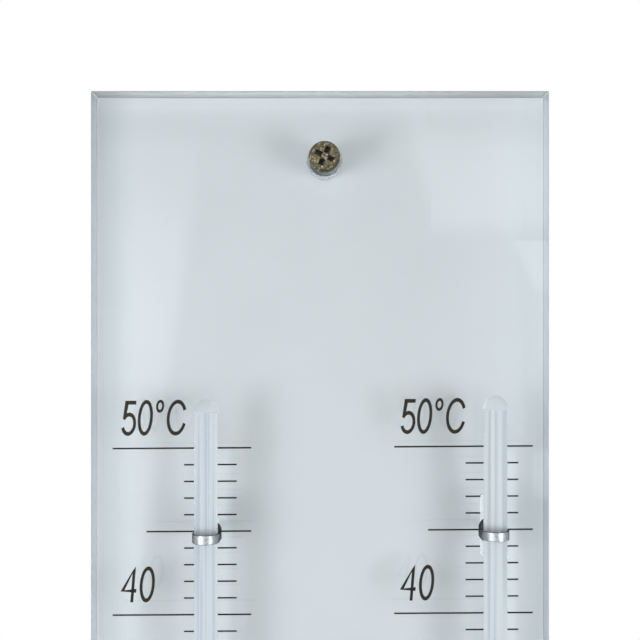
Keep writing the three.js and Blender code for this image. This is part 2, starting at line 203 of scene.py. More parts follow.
def new_finish(name, color, roughness, **sockets):
    """A material with one surface shader. Socket names are written with underscores."""
    look = bpy.data.materials.new(name)
    look.use_nodes = True
    for socket, value in {"Base_Color": (*color, 1.0), "Roughness": roughness, **sockets}.items():
        lead(look, value, surface_of(look), socket.replace("_", " "))
    return look


def add(look, kind, values=None, **settings):
    """Add a node with its settings. Each of its sockets takes a plain value or another node's output."""
    made = look.node_tree.nodes.new("ShaderNode" + kind)
    for setting, value in settings.items():
        setattr(made, setting, value)
    for socket, value in (values or {}).items():
        lead(look, value, made, socket)
    return made


def place_on(look, stretch=(1.0, 1.0, 1.0)):
    """Places on the piece in metres, stretched along each axis."""
    where = add(look, "TexCoord").outputs["Object"]
    return add(look, "Mapping", {"Vector": where, "Scale": stretch}).outputs["Vector"]


def coordinate(look, axis):
    return add(look, "SeparateXYZ", {"Vector": place_on(look)}).outputs[axis]


def cloud(look, scale, detail=3.0, rough=0.55, stretch=(1.0, 1.0, 1.0)):
    """Uneven patches of the given scale, as a value from 0 to 1."""
    return add(look, "TexNoise", {
        "Vector": place_on(look, stretch), "Scale": scale, "Detail": detail,
        "Roughness": rough}).outputs["Fac"]


def steps_of(look, value, stops):
    """Colours or grey levels at given shares of a value."""
    ramp = add(look, "ValToRGB", {"Fac": value})
    points = ramp.color_ramp.elements
    while len(points) < len(stops):
        points.new(0.5)
    for point, (share, color) in zip(points, stops):
        point.position = share
        point.color = (*color, 1.0) if isinstance(color, tuple) else (color, color, color, 1.0)
    return ramp.outputs["Color"]


def ranged(look, value, from_low, from_high, to_low, to_high):
    """A value led from one range into another."""
    return add(look, "MapRange", {
        "Value": value, "From Min": from_low, "From Max": from_high,
        "To Min": to_low, "To Max": to_high}).outputs["Result"]


def along(look, axis, span, stops):
    """Grey levels at given shares of the way between two places on an axis, in metres."""
    return steps_of(look, ranged(look, coordinate(look, axis), *span, 0.0, 1.0), stops)


def toned(look, tone, *shares):
    """A colour multiplied by each of the shares."""
    for share in shares:
        tone = add(look, "VectorMath", {0: tone, 1: share}, operation="MULTIPLY").outputs["Vector"]
    return tone


def colored(look, tone):
    lead(look, tone, surface_of(look), "Base Color")
    return look


def dulled(look, pattern, low, high, span=(0.3, 0.7)):
    """Let the roughness of a material follow a pattern."""
    lead(look, ranged(look, pattern, *span, low, high), surface_of(look), "Roughness")
    return look


def bumpy(look, pattern, depth, strength):
    """Raise bumps from a pattern, depth metres high, on top of the bumps that are there."""
    values = {"Height": pattern, "Distance": depth, "Strength": strength}
    normal = surface_of(look).inputs["Normal"]
    if normal.is_linked:
        values["Normal"] = normal.links[0].from_socket
    lead(look, add(look, "Bump", values).outputs["Normal"], surface_of(look), "Normal")
    return look


def white_plastic():
    """White plastic, a little mottled. Painted shade darkens it at its left edge and in a band just under
    its top, and painted light makes it lighter at its very top and near its right edge. The two pale stripes
    are painted light that each stem gathers next to it."""
    sheet = new_finish("white_plastic", (0.657, 0.69, 0.708), 0.5)
    tone = steps_of(sheet, cloud(sheet, 28.0), [(0.3, (0.642, 0.675, 0.693)), (0.7, (0.672, 0.705, 0.723))])
    # Painted shade at the left edge, painted light in a strip near the right edge.
    across = along(sheet, "X", ACROSS, [
        (0.0, 0.80), (0.05, PLAIN_TONE), (0.88, PLAIN_TONE), (0.92, 0.90), (0.955, 0.98), (1.0, 0.97)])
    # Painted shade in a band just under the top edge, painted light at the very top.
    up = along(sheet, "Z", (0.19, 0.21), [
        (0.3, UPPER_TONE), (0.6, 0.85), (0.75, 0.85), (0.92, 0.93), (1.0, 1.0)])
    # Painted light: a pale stripe next to each stem, on the lower part of the sheet only.
    stripes = along(sheet, "X", ACROSS, [
        (0.257, SHADED_TONE), (0.268, 1.0), (0.287, 1.0), (0.305, SHADED_TONE),
        (0.903, SHADED_TONE), (0.914, 1.0), (0.931, 1.0), (0.946, SHADED_TONE)])
    above = along(sheet, "Z", (0.112, 0.119), [(0.1, 0.0), (0.9, 1.0)])
    beside = add(sheet, "Mix", {
        0: above, 6: stripes, 7: (SHADED_TONE, SHADED_TONE, SHADED_TONE, 1.0)}, data_type="RGBA")
    lift = 1 / PLAIN_TONE / SHADED_TONE / UPPER_TONE
    colored(sheet, toned(sheet, tone, across, up, beside.outputs[2], (lift, lift, lift)))
    grain = cloud(sheet, 2600.0, 2.0)
    return bumpy(dulled(sheet, grain, 0.42, 0.6), grain, 0.00004, 0.5)


screw_places = [centre_of("top_mount_screw"), centre_of("bottom_mount_screw")]
sheet_low, sheet_high = corners_of("white_back")
backing = eased_block(sheet_low, sheet_high, SHEET_EDGE)
for place in screw_places:
    hole = drill(SLEEVE_HOLE_RADIUS, -OVERRUN, OVERRUN - sheet_low.y, 64)
    backing = worked(backing, placed(hole, (place.x, 0, place.z), 90))
put("backing_sheet", backing, [white_plastic()], "board", "white_back")


# ---------------------------------------------------------------- Clear board
# A 10 mm plate of clear cast acrylic: polished faces, saw-cut satin edges, and two drilled
# holes for the sleeves, whose rims are chipped. Blind holes take the clip and strap screws.

BOARD_EDGE = 0.18
CHIP_REACH = 0.65
CHIP_DEPTH = 0.55
CLIP_HOLE_RADIUS = 1.55
CLIP_HOLE_DEPTH = 7.4
ACRYLIC = {"IOR": 1.49, "Transmission_Weight": 1.0}
SATIN_ACRYLIC = {"IOR": 1.49, "Transmission_Weight": 0.5}
SAWN_LIGHT = (0.45, 0.48, 0.49)
RIM_GREY = (0.29, 0.31, 0.325)
CORNER_WHITE = (0.92, 0.94, 0.95)


def mottled(name, color, roughness, patches, stops, **sockets):
    """A material with a colour that follows uneven patches. Returns it with those patches."""
    look = new_finish(name, color, roughness, **sockets)
    value = cloud(look, *patches)
    return colored(look, steps_of(look, value, stops)), value


def maths(look, operation, first, second, **settings):
    return add(look, "Math", {0: first, 1: second}, operation=operation, **settings).outputs[0]


def ray(look, kind):
    """1 where light of one kind meets the material, otherwise 0."""
    return add(look, "LightPath").outputs[kind]


def give_way(look, share, other):
    """Show another shader by a share in place of what the material shows so far."""
    end = look.node_tree.nodes["Material Output"]
    shown = end.inputs["Surface"].links[0].from_socket
    choice = add(look, "MixShader", {0: share, 1: shown, 2: other})
    lead(look, choice.outputs["Shader"], end, "Surface")
    return look


def see_through(look, color):
    return add(look, "BsdfTransparent", {"Color": (*color, 1.0)}).outputs["BSDF"]


def lets_lamps_through(look, color=(0.97, 0.985, 0.99), clear=True):
    """Let lamp light straight through a piece, so that what is behind it is lit. A satin piece still
    throws light back at what is near it. A darker colour stands for light that round glass bends aside."""
    passing = ray(look, "Is Shadow Ray")
    if clear:
        passing = maths(look, "MAXIMUM", passing, ray(look, "Is Diffuse Ray"))
    return give_way(look, passing, see_through(look, color))


def polished_acrylic():
    """Clear acrylic with hairline scratches and a few dull specks on its polish."""
    clear = new_finish("polished_acrylic", (0.975, 0.99, 0.995), 0.02, **ACRYLIC)
    specks = add(clear, "TexVoronoi", {"Vector": place_on(clear), "Scale": 160.0})
    dull = ranged(clear, specks.outputs["Distance"], 0.015, 0.04, 0.1, 0.0)
    scratches = cloud(clear, 900.0, 2.0, stretch=(1.0, 1.0, 0.06))
    haze = ranged(clear, scratches, 0.66, 0.78, 0.0, 0.08)
    lead(clear, maths(clear, "MAXIMUM", dull, haze), surface_of(clear), "Roughness")
    return lets_lamps_through(clear)


def sawn_acrylic():
    """The satin of the sawn top and foot: fine marks and speckles, greyer towards the sheet.
    Painted shade darkens it towards its ends, most at the right.
    """
    satin = new_finish("sawn_acrylic", (0.60, 0.64, 0.65), 0.45, **SATIN_ACRYLIC)
    marks = cloud(satin, 1500.0, stretch=(0.12, 1.0, 0.12))
    speckle = cloud(satin, 1500.0, 4.0, 0.6, (0.12, 1.0, 0.12))
    tone = steps_of(satin, speckle, [
        (0.34, (0.48, 0.49, 0.48)), (0.5, (0.85, 0.875, 0.88)), (0.66, 1.0)])
    # Painted shade: darker towards both ends of the edge, most at the right.
    across = along(satin, "X", ACROSS, [
        (0.04, 0.58), (0.10, 0.76), (0.30, 1.0), (0.57, 1.0), (0.74, 0.68), (0.90, 0.36), (0.96, 0.45),
        (1.0, 0.6)])
    deep = along(satin, "Y", (-0.0122, -0.0022), [(0.0, 1.0), (0.5, 0.95), (0.70, 0.60), (1.0, 0.52)])
    colored(satin, toned(satin, tone, across, deep))
    bumpy(dulled(satin, marks, 0.36, 0.55), marks, 0.00012, 0.8)
    return lets_lamps_through(bumpy(satin, speckle, 0.00006, 0.6), SAWN_LIGHT, False)


def sawn_sides():
    """The two long sides: smoother and bluer, with soft stripes along them. Painted light makes the right
    one lighter.
    """
    satin = new_finish("sawn_sides", (0.62, 0.69, 0.74), 0.42, **SATIN_ACRYLIC)
    stripes = cloud(satin, 520.0, stretch=(0.0, 1.0, 0.003))
    tone = steps_of(satin, stripes, [(0.36, (0.62, 0.70, 0.77)), (0.64, (0.82, 0.90, 0.96))])
    # Painted light: lighter towards the right side.
    paler = ranged(satin, coordinate(satin, "X"), *ACROSS, 0.63, 0.82)
    colored(satin, toned(satin, tone, paler))
    return lets_lamps_through(bumpy(satin, stripes, 0.00008, 0.6), SAWN_LIGHT, False)


def drilled_acrylic():
    """The dull, bluish wall of a drilled hole."""
    dull, flakes = mottled("drilled_acrylic", (0.72, 0.78, 0.83), 0.45, (1100.0, 5.0, 0.7), [
        (0.38, (0.38, 0.43, 0.48)), (0.5, (0.74, 0.80, 0.86)), (0.66, (0.95, 0.97, 1.0))], **SATIN_ACRYLIC)
    bumpy(dull, cloud(dull, 2600.0, 2.0, stretch=(0.1, 1.0, 0.1)), 0.00012, 0.7)
    return lets_lamps_through(bumpy(dull, flakes, 0.0002, 0.8), (0.8, 0.84, 0.88), False)


def by_direction(mesh, low, high):
    """Face finishes of the plate: 0 on the polished faces, 1 on the sawn top and foot, 2 in the holes,
    3 on the dark grey rim in front of the top, 4 on the long sides and 5 on the edges between them."""
    for face in mesh.polygons:
        middle = face.center
        outside = min(middle.x - low.x, high.x - middle.x, middle.z - low.z, high.z - middle.z)
        sideways = abs(face.normal.x)
        upright = abs(face.normal.z)
        if outside > BOARD_EDGE + 0.01:
            face.material_index = 0 if abs(face.normal.y) > 0.95 else 2
        elif middle.y > high.y - BOARD_EDGE:
            face.material_index = 0
        elif min(sideways, upright) > 0.3:
            face.material_index = 5
        elif sideways > upright:
            face.material_index = 4
        else:
            face.material_index = 3 if middle.y < low.y + BOARD_EDGE else 1


def chipped(radius, height, turn):
    """The rim of a hole where the drill broke flakes out of the face."""
    if radius <= SLEEVE_HOLE_RADIUS:
        return radius
    flake = noise.noise(on_ring(3, turn, height))
    return radius + CHIP_REACH * (0.45 * flake + 0.3 * noise.noise(on_ring(9, turn, 4.0)))


board_low, board_high = corners_of("clear_board")
front_y = board_low.y
plate = eased_block(board_low, board_high, BOARD_EDGE)
plate_depth = board_high.y - board_low.y
for place in screw_places:
    hole = turned([
        (0, -OVERRUN), (SLEEVE_HOLE_RADIUS, -OVERRUN), (SLEEVE_HOLE_RADIUS, plate_depth - CHIP_DEPTH),
        (SLEEVE_HOLE_RADIUS + CHIP_REACH * 0.3, plate_depth - CHIP_DEPTH * 0.55),
        (SLEEVE_HOLE_RADIUS + CHIP_REACH, plate_depth),
        (SLEEVE_HOLE_RADIUS + CHIP_REACH, plate_depth + OVERRUN), (0, plate_depth + OVERRUN)], 96, chipped)
    plate = worked(plate, placed(hole, (place.x, board_high.y, place.z), 90))
clip_screws = ["wet_upper_screw", "wet_lower_screw", "dry_upper_screw", "dry_lower_screw"]
strap_screws = ["strap_screw_left", "strap_screw_right"]
for node in clip_screws + strap_screws:
    place = centre_of(node)
    hole = turned([
        (0, -OVERRUN), (CLIP_HOLE_RADIUS, -OVERRUN),
        (CLIP_HOLE_RADIUS, CLIP_HOLE_DEPTH - CLIP_HOLE_RADIUS), (0, CLIP_HOLE_DEPTH)], 32)
    plate = worked(plate, placed(hole, (place.x, front_y, place.z), -90))
by_direction(plate, board_low, board_high)
# The rim in front of the sawn top and foot is a plain dark grey.
finishes = [polished_acrylic(), sawn_acrylic(), drilled_acrylic(), new_finish("dark_front_rim", RIM_GREY, 0.5),
            sawn_sides(), new_finish("corner_line", CORNER_WHITE, 0.4)]
put("clear_plate", plate, finishes, "board", "clear_board", 25.0)


# ---------------------------------------------------------------- Printed scales
# One scale for each thermometer, screen-printed in a warm black on the front of the board.
# Lines stand at each degree, longer at 5 and 10, and the numbers are narrow and slanted.

INK_THICKNESS = 0.02
FIFTY_HEIGHT = 116.5
DEGREE_PITCH = 4.36
SCALE_DEGREES = 50
PRINT_TILT = 0.37
PRINT_PIVOT = -36.0
MAJOR_REACH = (-25.3, 11.0)
MEDIUM_REACH = (-16.4, 11.0)
MINOR_REACH = (-6.6, 7.2)
MAJOR_WEIGHT = 0.43
MINOR_WEIGHT = 0.41
NUMBER_LEFT = {"wet": -23.13, "dry": -23.72}
NUMBER_LIFT = 3.3
NUMBER_HEIGHT = 9.4
NUMBER_GAP = 0.78
NUMBER_SLANT = 0.085
PEN_WIDTH = 0.76
PEN_HEIGHT = 1.02
LIGHT_PEN = 0.76


def printed_height(x, z):
    """The print lies on the board very slightly out of level."""
    return z + (x - PRINT_PIVOT) * tan(radians(PRINT_TILT))


def arc(x, y, across, up, start, end, steps):
    """Points on an ellipse from one angle to another, in degrees."""
    turns = [radians(start + (end - start) * step / steps) for step in range(steps + 1)]
    return [(x + across * cos(turn), y + up * sin(turn)) for turn in turns]


def pen_arc(x, y, half_width, half_height, start, end, steps=40):
    """The middle of a stroke whose outside follows an ellipse."""
    return arc(x, y, half_width - PEN_WIDTH / 2, half_height - PEN_HEIGHT / 2, start, end, steps)


def with_neighbours(path, closed=False):
    """Each point of a path, between the one before it and the one after it."""
    before = (path[-1:] if closed else path[:1]) + path[:-1]
    return zip(before, path, path[1:] + (path[:1] if closed else path[-1:]))


def pen_stroke(points, closed=False, weight=1.0):
    """A flat stroke of a pen that is higher than it is wide, with square ends."""
    squeeze = PEN_WIDTH / PEN_HEIGHT
    rings = []
    for before, point, after in with_neighbours([Vector((x, y * squeeze)) for x, y in points], closed):
        here = (after - before).normalized()
        first = (point - before).normalized() if (point - before).length > 0 else here
        mitre = 1 / max(here.dot(first), 0.5)
        side_way = Vector((-here.y, here.x)) * PEN_WIDTH / 2 * weight * mitre
        ring = []
        for way, z in ((1, 0), (-1, 0), (-1, INK_THICKNESS), (1, INK_THICKNESS)):
            x, y = point + side_way * way
            ring.append((x, y / squeeze, z))
        rings.append(ring)
    return skin(rings, closed, not closed)


# The strokes of each figure in millimetres, upright, from its lower left corner, and its width.
half_high = NUMBER_HEIGHT / 2
top_line = NUMBER_HEIGHT - PEN_HEIGHT / 2
foot_line = PEN_HEIGHT / 2
FIGURES = {
    "0": (3.75, [(pen_arc(1.97, half_high, 1.97, half_high, 0, 351, 39), True)]),
    "1": (3.0, [([(2.05, 0), (2.05, NUMBER_HEIGHT)], False),
                ([(2.05, NUMBER_HEIGHT - 0.5), (1.5, 7.9), (0.55, 7.05)], False)]),
    "2": (3.5, [(pen_arc(1.72, 6.75, 1.72, 2.65, 168, 0) + [
        (3.0, 5.7), (2.3, 4.35), (1.2, 2.5), (0.5, 1.2), (0.42, foot_line), (3.45, foot_line)], False)]),
    "3": (3.5, [(pen_arc(1.65, 7.1, 1.6, 2.3, 165, -75) + [(1.2, 5.0)], False),
                ([(1.2, 5.0)] + pen_arc(1.68, 2.75, 1.75, 2.75, 82, -168), False)]),
    "4": (3.8, [([(2.85, 0), (2.85, NUMBER_HEIGHT - 0.55), (0.2, 3.05), (3.8, 3.05)], False)]),
    "5": (3.3, [([(3.38, top_line - 0.2), (0.93, top_line - 0.2), (0.55, 4.35)], False),
                (pen_arc(1.8, 3.05, 1.94, 3.05, 150, -160), False)]),
    "°": (2.26, [(pen_arc(1.07, NUMBER_HEIGHT - 1.69, 1.16, 1.83, 0, 351, 39), True)]),
    "C": (4.8, [(pen_arc(2.62, half_high, 2.62, half_high, 28, 339), False)]),
}


def joined(meshes):
    """Several meshes laid together as one."""
    shape = bmesh.new()
    for mesh in meshes:
        shape.from_mesh(mesh)
    return mesh_of(shape)


def lettering(text):
    """Slanted figures in a row, as one flat mesh whose lower left corner lies at the origin."""
    row = []
    left = 0.0
    for figure in text:
        width, strokes = FIGURES[figure]
        drawn = None
        for points, closed in strokes:
            stroke = pen_stroke(points, closed, LIGHT_PEN if figure == "°" else 1.0)
            drawn = stroke if drawn is None else worked(drawn, stroke, "UNION")
        row.append(placed(drawn, (left, 0, 0)))
        left += width + NUMBER_GAP
    number = joined(row)
    for corner in number.vertices:
        corner.co.x += corner.co.y * NUMBER_SLANT
    return number


def scale_print(stem_x, number_left):
    """All lines and numbers of one scale as one mesh."""
    print_mesh = bmesh.new()
    for degree in range(SCALE_DEGREES + 1):
        z = FIFTY_HEIGHT - (SCALE_DEGREES - degree) * DEGREE_PITCH
        reach = MAJOR_REACH if degree % 10 == 0 else MEDIUM_REACH if degree % 5 == 0 else MINOR_REACH
        half = (MAJOR_WEIGHT if degree % 5 == 0 else MINOR_WEIGHT) / 2
        (left, left_z), (right, right_z) = [(stem_x + far, printed_height(stem_x + far, z)) for far in reach]
        print_mesh.from_mesh(skin([[
            (left, y, left_z - half), (right, y, right_z - half),
            (right, y, right_z + half), (left, y, left_z + half)]
            for y in (front_y, front_y - INK_THICKNESS)], False, True))
        if degree % 10 == 0:
            number = placed(lettering("50°C" if degree == SCALE_DEGREES else str(degree)), (0, 0, 0), 90)
            left = stem_x + number_left
            stand = (left, front_y, printed_height(left, z + NUMBER_LIFT))
            print_mesh.from_mesh(placed(number, stand, PRINT_TILT, (0, -1, 0)))
    bmesh.ops.remove_doubles(print_mesh, verts=print_mesh.verts[:], dist=0.0001)
    bmesh.ops.recalc_face_normals(print_mesh, faces=print_mesh.faces[:])
    return mesh_of(print_mesh)


# The ink is slightly uneven and a little glossy.
ink = mottled("black_ink", (0.018, 0.014, 0.008), 0.55, (1400.0,), [
    (0.35, (0.012, 0.009, 0.005)), (0.7, (0.028, 0.022, 0.014))], Specular_IOR_Level=0.22)[0]
dulled(ink, cloud(ink, 3500.0), 0.45, 0.65)
for name, number_left in NUMBER_LEFT.items():
    stem_x = centre_of(f"{name}_glass").x
    put(f"{name}_scale_print", scale_print(stem_x, number_left), [ink], "board", None)


# ---------------------------------------------------------------- Sleeves and mounting screws
# A grey steel sleeve lines each hole and stands 3 mm proud. A yellow-zinc screw with a worn,
# dirty cheese head and a deep cross recess goes through it into the wall.

SLEEVE_RADIUS = 3.9
SLEEVE_BORE = 2.3
HEAD_RADIUS = 4.0
HEAD_HEIGHT = 3.0
SHANK_RADIUS = 2.0
THREAD_PITCH = 0.9
RECESS_REACH = 2.75
RECESS_DEPTH = 1.8
RECESS = (RECESS_REACH, 1.42, RECESS_DEPTH, 0.88, -26.0)
BURR_RADIUS = 0.92
BURR_DROP = 0.1


def softened(outline, reach, steps=3):
    """An outline with its inner corners rounded off."""
    points = [Vector(point) for point in outline]
    rounded = [points[0]]
    for before, corner, after in zip(points, points[1:], points[2:]):
        cut = min(reach, (corner - before).length * 0.45, (after - corner).length * 0.45)
        start = corner + (before - corner).normalized() * cut
        end = corner + (after - corner).normalized() * cut
        for step in range(steps + 1):
            t = step / steps
            rounded.append(start * (1 - t) ** 2 + corner * 2 * t * (1 - t) + end * t ** 2)
    rounded.append(points[-1])
    return [tuple(point) for point in rounded]


def grey_steel():
    """Cut steel tube: grey, with turning marks and smudges. Painted reflection makes it darker on its
    left and lighter on its right.
    """
    steel = new_finish("grey_steel", (0.42, 0.44, 0.46), 0.35, Metallic=1.0)
    smudge = cloud(steel, 700.0, 4.0)
    tone = steps_of(steel, smudge, [(0.38, (0.11, 0.125, 0.125)), (0.62, (0.40, 0.43, 0.445))])
    # Painted reflection: each sleeve darker on its left and brighter on its right.
    colored(steel, toned(steel, tone, ranged(steel, coordinate(steel, "X"), -0.0012, 0.0036, 0.42, 1.5)))
    marks = cloud(steel, 6000.0, 2.0, stretch=(0.05, 1.0, 0.05))
    return bumpy(dulled(steel, smudge, 0.25, 0.5), marks, 0.00003, 0.6)


def worn_zinc():
    """Yellow zinc gone dull: olive-brown, pitted and scratched, brighter specks where it rubs."""
    zinc = new_finish("worn_zinc", (0.17, 0.145, 0.075), 0.45, Metallic=0.75)
    broad = cloud(zinc, 1100.0, 4.0, 0.6)
    fine = cloud(zinc, 3600.0, 5.0, 0.7)
    blend = add(zinc, "Mix", {"Factor": 0.5, "A": broad, "B": fine}, data_type="FLOAT")
    tone = steps_of(zinc, blend.outputs["Result"], [
        (0.40, (0.020, 0.018, 0.013)), (0.46, (0.097, 0.085, 0.049)),
        (0.55, (0.162, 0.142, 0.082)), (0.62, (0.76, 0.71, 0.52))])
    dulled(colored(zinc, tone), fine, 0.32, 0.6, (0.35, 0.65))
    return bumpy(bumpy(zinc, broad, 0.0005, 0.9), fine, 0.0002, 0.9)


def threaded(radius, length, pitch, tip, core, lead_in, plain):
    """The outline of a threaded shank below z = 0, from its tip to its plain end under the head."""
    level = lead_in - length
    outline = [(0, -length), (radius * tip, -length), (radius * core, level)]
    while level + pitch < -plain:
        outline += [(radius, level + pitch / 2), (radius * core, level + pitch)]
        level += pitch
    return outline


def cross_cut(head, top, reach, width, depth, floor_share, turn):
    """Sink a cross recess into a head: four arms that narrow downwards."""
    tool = None
    for quarter in (0, 90):
        arm = bmesh.new()
        bmesh.ops.create_cube(arm, size=1.0)
        for corner in arm.verts:
            below = corner.co.z < 0
            corner.co.x *= 2 * reach * (floor_share if below else 1.0)
            corner.co.y *= width * (0.82 if below else 1.0)
            corner.co.z = -depth if below else depth
        ease(arm, arm.edges[:], width * 0.1)
        arm_mesh = placed(mesh_of(arm), (0, 0, 0), quarter, "Z")
        tool = arm_mesh if tool is None else worked(tool, arm_mesh, "UNION")
    return worked(head, placed(tool, (0, 0, top), turn, "Z"))


def head_wear(radius, height, turn):
    """Small dents that leave the rim of a head slightly out of round."""
    broad = noise.noise(on_ring(2.2, turn, height))
    return radius * (1 + 0.012 * broad + 0.008 * noise.noise(on_ring(7, turn, height * 2)))


def lumpy_burr():
    """The plug of torn metal that stands in the middle of the recess."""
    burr = bmesh.new()
    bmesh.ops.create_icosphere(burr, subdivisions=4, radius=1.0)
    for corner in burr.verts:
        lump = 1 + 0.28 * noise.noise(corner.co * 2.1) + 0.16 * noise.noise(corner.co * 5.5)
        flat = copysign(abs(corner.co.z) ** 0.5, corner.co.z)
        wide = (1 - abs(flat) ** 4) ** 0.25 / max(hypot(corner.co.x, corner.co.y), 0.01) * BURR_RADIUS
        corner.co = Vector((corner.co.x * wide, corner.co.y * wide, flat * 1.2)) * lump
        corner.co.z += HEAD_HEIGHT - BURR_DROP - 1.3
    return mesh_of(burr)


def mounting_screw(place, seat_y, back_y):
    """Cheese head with a cross recess on a threaded shank, its height measured forward from the seat."""
    outline = threaded(SHANK_RADIUS, back_y - seat_y, THREAD_PITCH, 0.6, 0.85, 0.8, 0.5) + softened([
        (SHANK_RADIUS * 0.95, 0), (HEAD_RADIUS - 0.05, 0), (HEAD_RADIUS, HEAD_HEIGHT * 0.72),
        (HEAD_RADIUS * 0.86, HEAD_HEIGHT * 0.97), (HEAD_RADIUS * 0.5, HEAD_HEIGHT), (0, HEAD_HEIGHT)], 0.3)
    screw = cross_cut(turned(outline, 96, head_wear), HEAD_HEIGHT, *RECESS)
    screw = worked(screw, lumpy_burr(), "UNION")
    for face in screw.polygons:
        z = face.center.z
        from_axis = hypot(face.center.x, face.center.y)
        inside_burr = from_axis < BURR_RADIUS * 1.25
        sunk = HEAD_HEIGHT - RECESS_DEPTH - 0.1 < z < HEAD_HEIGHT * 0.965
        if sunk and BURR_RADIUS * 0.55 < from_axis < RECESS_REACH + 0.15:
            face.material_index = 2 if inside_burr and z > HEAD_HEIGHT - BURR_DROP - 0.75 else 1
        elif inside_burr and z > HEAD_HEIGHT * 0.5:
            face.material_index = 2
    return placed(screw, (place.x, seat_y, place.z), 90)


# The recess is nearly black, as grime deepened by painted shade, and the torn metal in its middle is bare
# and brassy.
steel = grey_steel()
dirt_and_shade, grains = mottled("recess_dirt_and_shade", (0.050, 0.046, 0.034), 0.6, (2600.0, 4.0, 0.7), [
    (0.4, (0.030, 0.028, 0.022)), (0.6, (0.075, 0.070, 0.052)), (0.74, (0.20, 0.18, 0.11))])
burr, lumps = mottled("rubbed_burr", (0.26, 0.22, 0.12), 0.35, (2400.0, 4.0, 0.65), [
    (0.40, (0.030, 0.026, 0.018)), (0.50, (0.19, 0.165, 0.095)), (0.62, (0.85, 0.80, 0.60))], Metallic=0.8)
screw_finishes = [worn_zinc(), bumpy(dirt_and_shade, grains, 0.0002, 0.8), bumpy(burr, lumps, 0.0004, 0.9)]
for end, place in zip(("top", "bottom"), screw_places):
    sleeve_low, sleeve_high = corners_of(f"{end}_sleeve")
    back = -sleeve_high.y
    front = -sleeve_low.y
    wall = softened([
        (SLEEVE_BORE, (back + front) / 2), (SLEEVE_BORE, back), (SLEEVE_RADIUS, back),
        (SLEEVE_RADIUS, front), (SLEEVE_BORE, front), (SLEEVE_BORE, (back + front) / 2)], 0.25)
    sleeve = placed(turned(wall, 96), (place.x, 0, place.z), 90)
    put(f"{end}_steel_sleeve", sleeve, [steel], "board", f"{end}_sleeve")
    screw_low, screw_high = corners_of(f"{end}_mount_screw")
    put(f"{end}_zinc_screw", mounting_screw(place, screw_low.y + HEAD_HEIGHT, screw_high.y), screw_finishes,
        "board", f"{end}_mount_screw")


# ---------------------------------------------------------------- Band clips
# Polished strip metal bent into a closed loop round each stem. Its base swells into an eye, and
# one screw holds it with a flat tongue against the board.

BAND_THICKNESS = 0.4
BAND_HEIGHT = 2.36
BAND_DROP = 0.15
EYE_RADIUS = 3.6
BASE_HALF = 3.2
LEG_HEIGHT = 1.3
LEG_TOP = 3.6
LEG_TAPER = 2.2
BASE_DEPTH = 0.8
SHOULDER_DEPTH = 3.2
STEM_DEPTH = 6.4
LOOP_RADIUS = 3.3
TONGUE_WIDTH = 5.6
TONGUE_THICKNESS = 0.5
TONGUE_GAP = 0.1
SCREW_BORE = 1.8
WET_TURN = -7.5


def bright_metal(name, share=1.0, shade_start_y=None, shade_end_y=None, **sockets):
    """Plated strip with faint rolling lines and smudges. A lower share darkens it, and on a band
    painted shade darkens it from its front towards the board."""
    plain, low, high = [tuple(level * share for level in tone) for tone in (
        (0.36, 0.384, 0.40), (0.245, 0.278, 0.298), (0.44, 0.472, 0.495))]
    sockets = {"Metallic": 1.0, "Specular_Tint": (0.3, 0.32, 0.33, 1.0), **sockets}
    bright = new_finish(name, plain, 0.38, **sockets)
    smudge = cloud(bright, 2200.0, 4.0, 0.65)
    tone = steps_of(bright, smudge, [(0.38, low), (0.62, high)])
    # Painted shade: the band grows darker from its front towards the board.
    if shade_start_y is not None:
        tone = toned(bright, tone, ranged(bright, coordinate(bright, "Y"), shade_start_y, shade_end_y, 1.0, 0.14))
    lines = cloud(bright, 9000.0, 2.0, stretch=(0.04, 0.04, 1.0))
    return bumpy(dulled(colored(bright, tone), smudge, 0.34, 0.48), lines, 0.00001, 0.5)


def strip_mesh(path, closed, height_at, thickness, edge):
    """A strip stood on edge along a path of (x, depth) points, with rounded edges."""
    rings = []
    for before, point, after in with_neighbours([Vector(point) for point in path], closed):
        along_path = (after - before).normalized()
        across = Vector((-along_path.y, along_path.x))
        half = height_at(*point) / 2
        section = []
        for side, top in ((-1, -1), (1, -1), (1, 1), (-1, 1)):
            for first in (True, False):
                flat = first == (side * top > 0)
                out = point + across * side * (thickness / 2 - (0 if flat else edge))
                section.append((out.x, -out.y, top * (half - (edge if flat else 0))))
        rings.append(section)
    return skin(rings, closed, not closed)


def loop_path():
    """The line of the band seen from above: base, sides and the round of the stem."""
    half = [(EYE_RADIUS * sin(radians(7.5 * step)), BASE_DEPTH) for step in range(10)]
    half += softened([
        (0, BASE_DEPTH), (BASE_HALF, BASE_DEPTH), (BASE_HALF, SHOULDER_DEPTH),
        (LOOP_RADIUS, STEM_DEPTH)], 0.7, 5)[1:-1]
    last_x, last_depth = half[-1]
    half += [(last_x + (LOOP_RADIUS - last_x) * step / 6, last_depth + (STEM_DEPTH - last_depth) * step / 6)
             for step in range(1, 6)]
    mirrored = [(-x, depth) for x, depth in half[:0:-1]]
    return half + arc(0, STEM_DEPTH, LOOP_RADIUS, LOOP_RADIUS, 0, 180, 48) + mirrored


def smooth(share):
    return share * share * (3 - 2 * share)


def band_height(x, depth):
    """Full height round the stem, narrow legs beside the screw head and a round eye under it."""
    if depth <= BASE_DEPTH + 0.05 and abs(x) < EYE_RADIUS:
        return max(LEG_HEIGHT, 2 * sqrt(EYE_RADIUS ** 2 - x * x))
    share = min(max((depth - LEG_TOP) / LEG_TAPER, 0.0), 1.0)
    return LEG_HEIGHT + (BAND_HEIGHT - LEG_HEIGHT) * smooth(share)


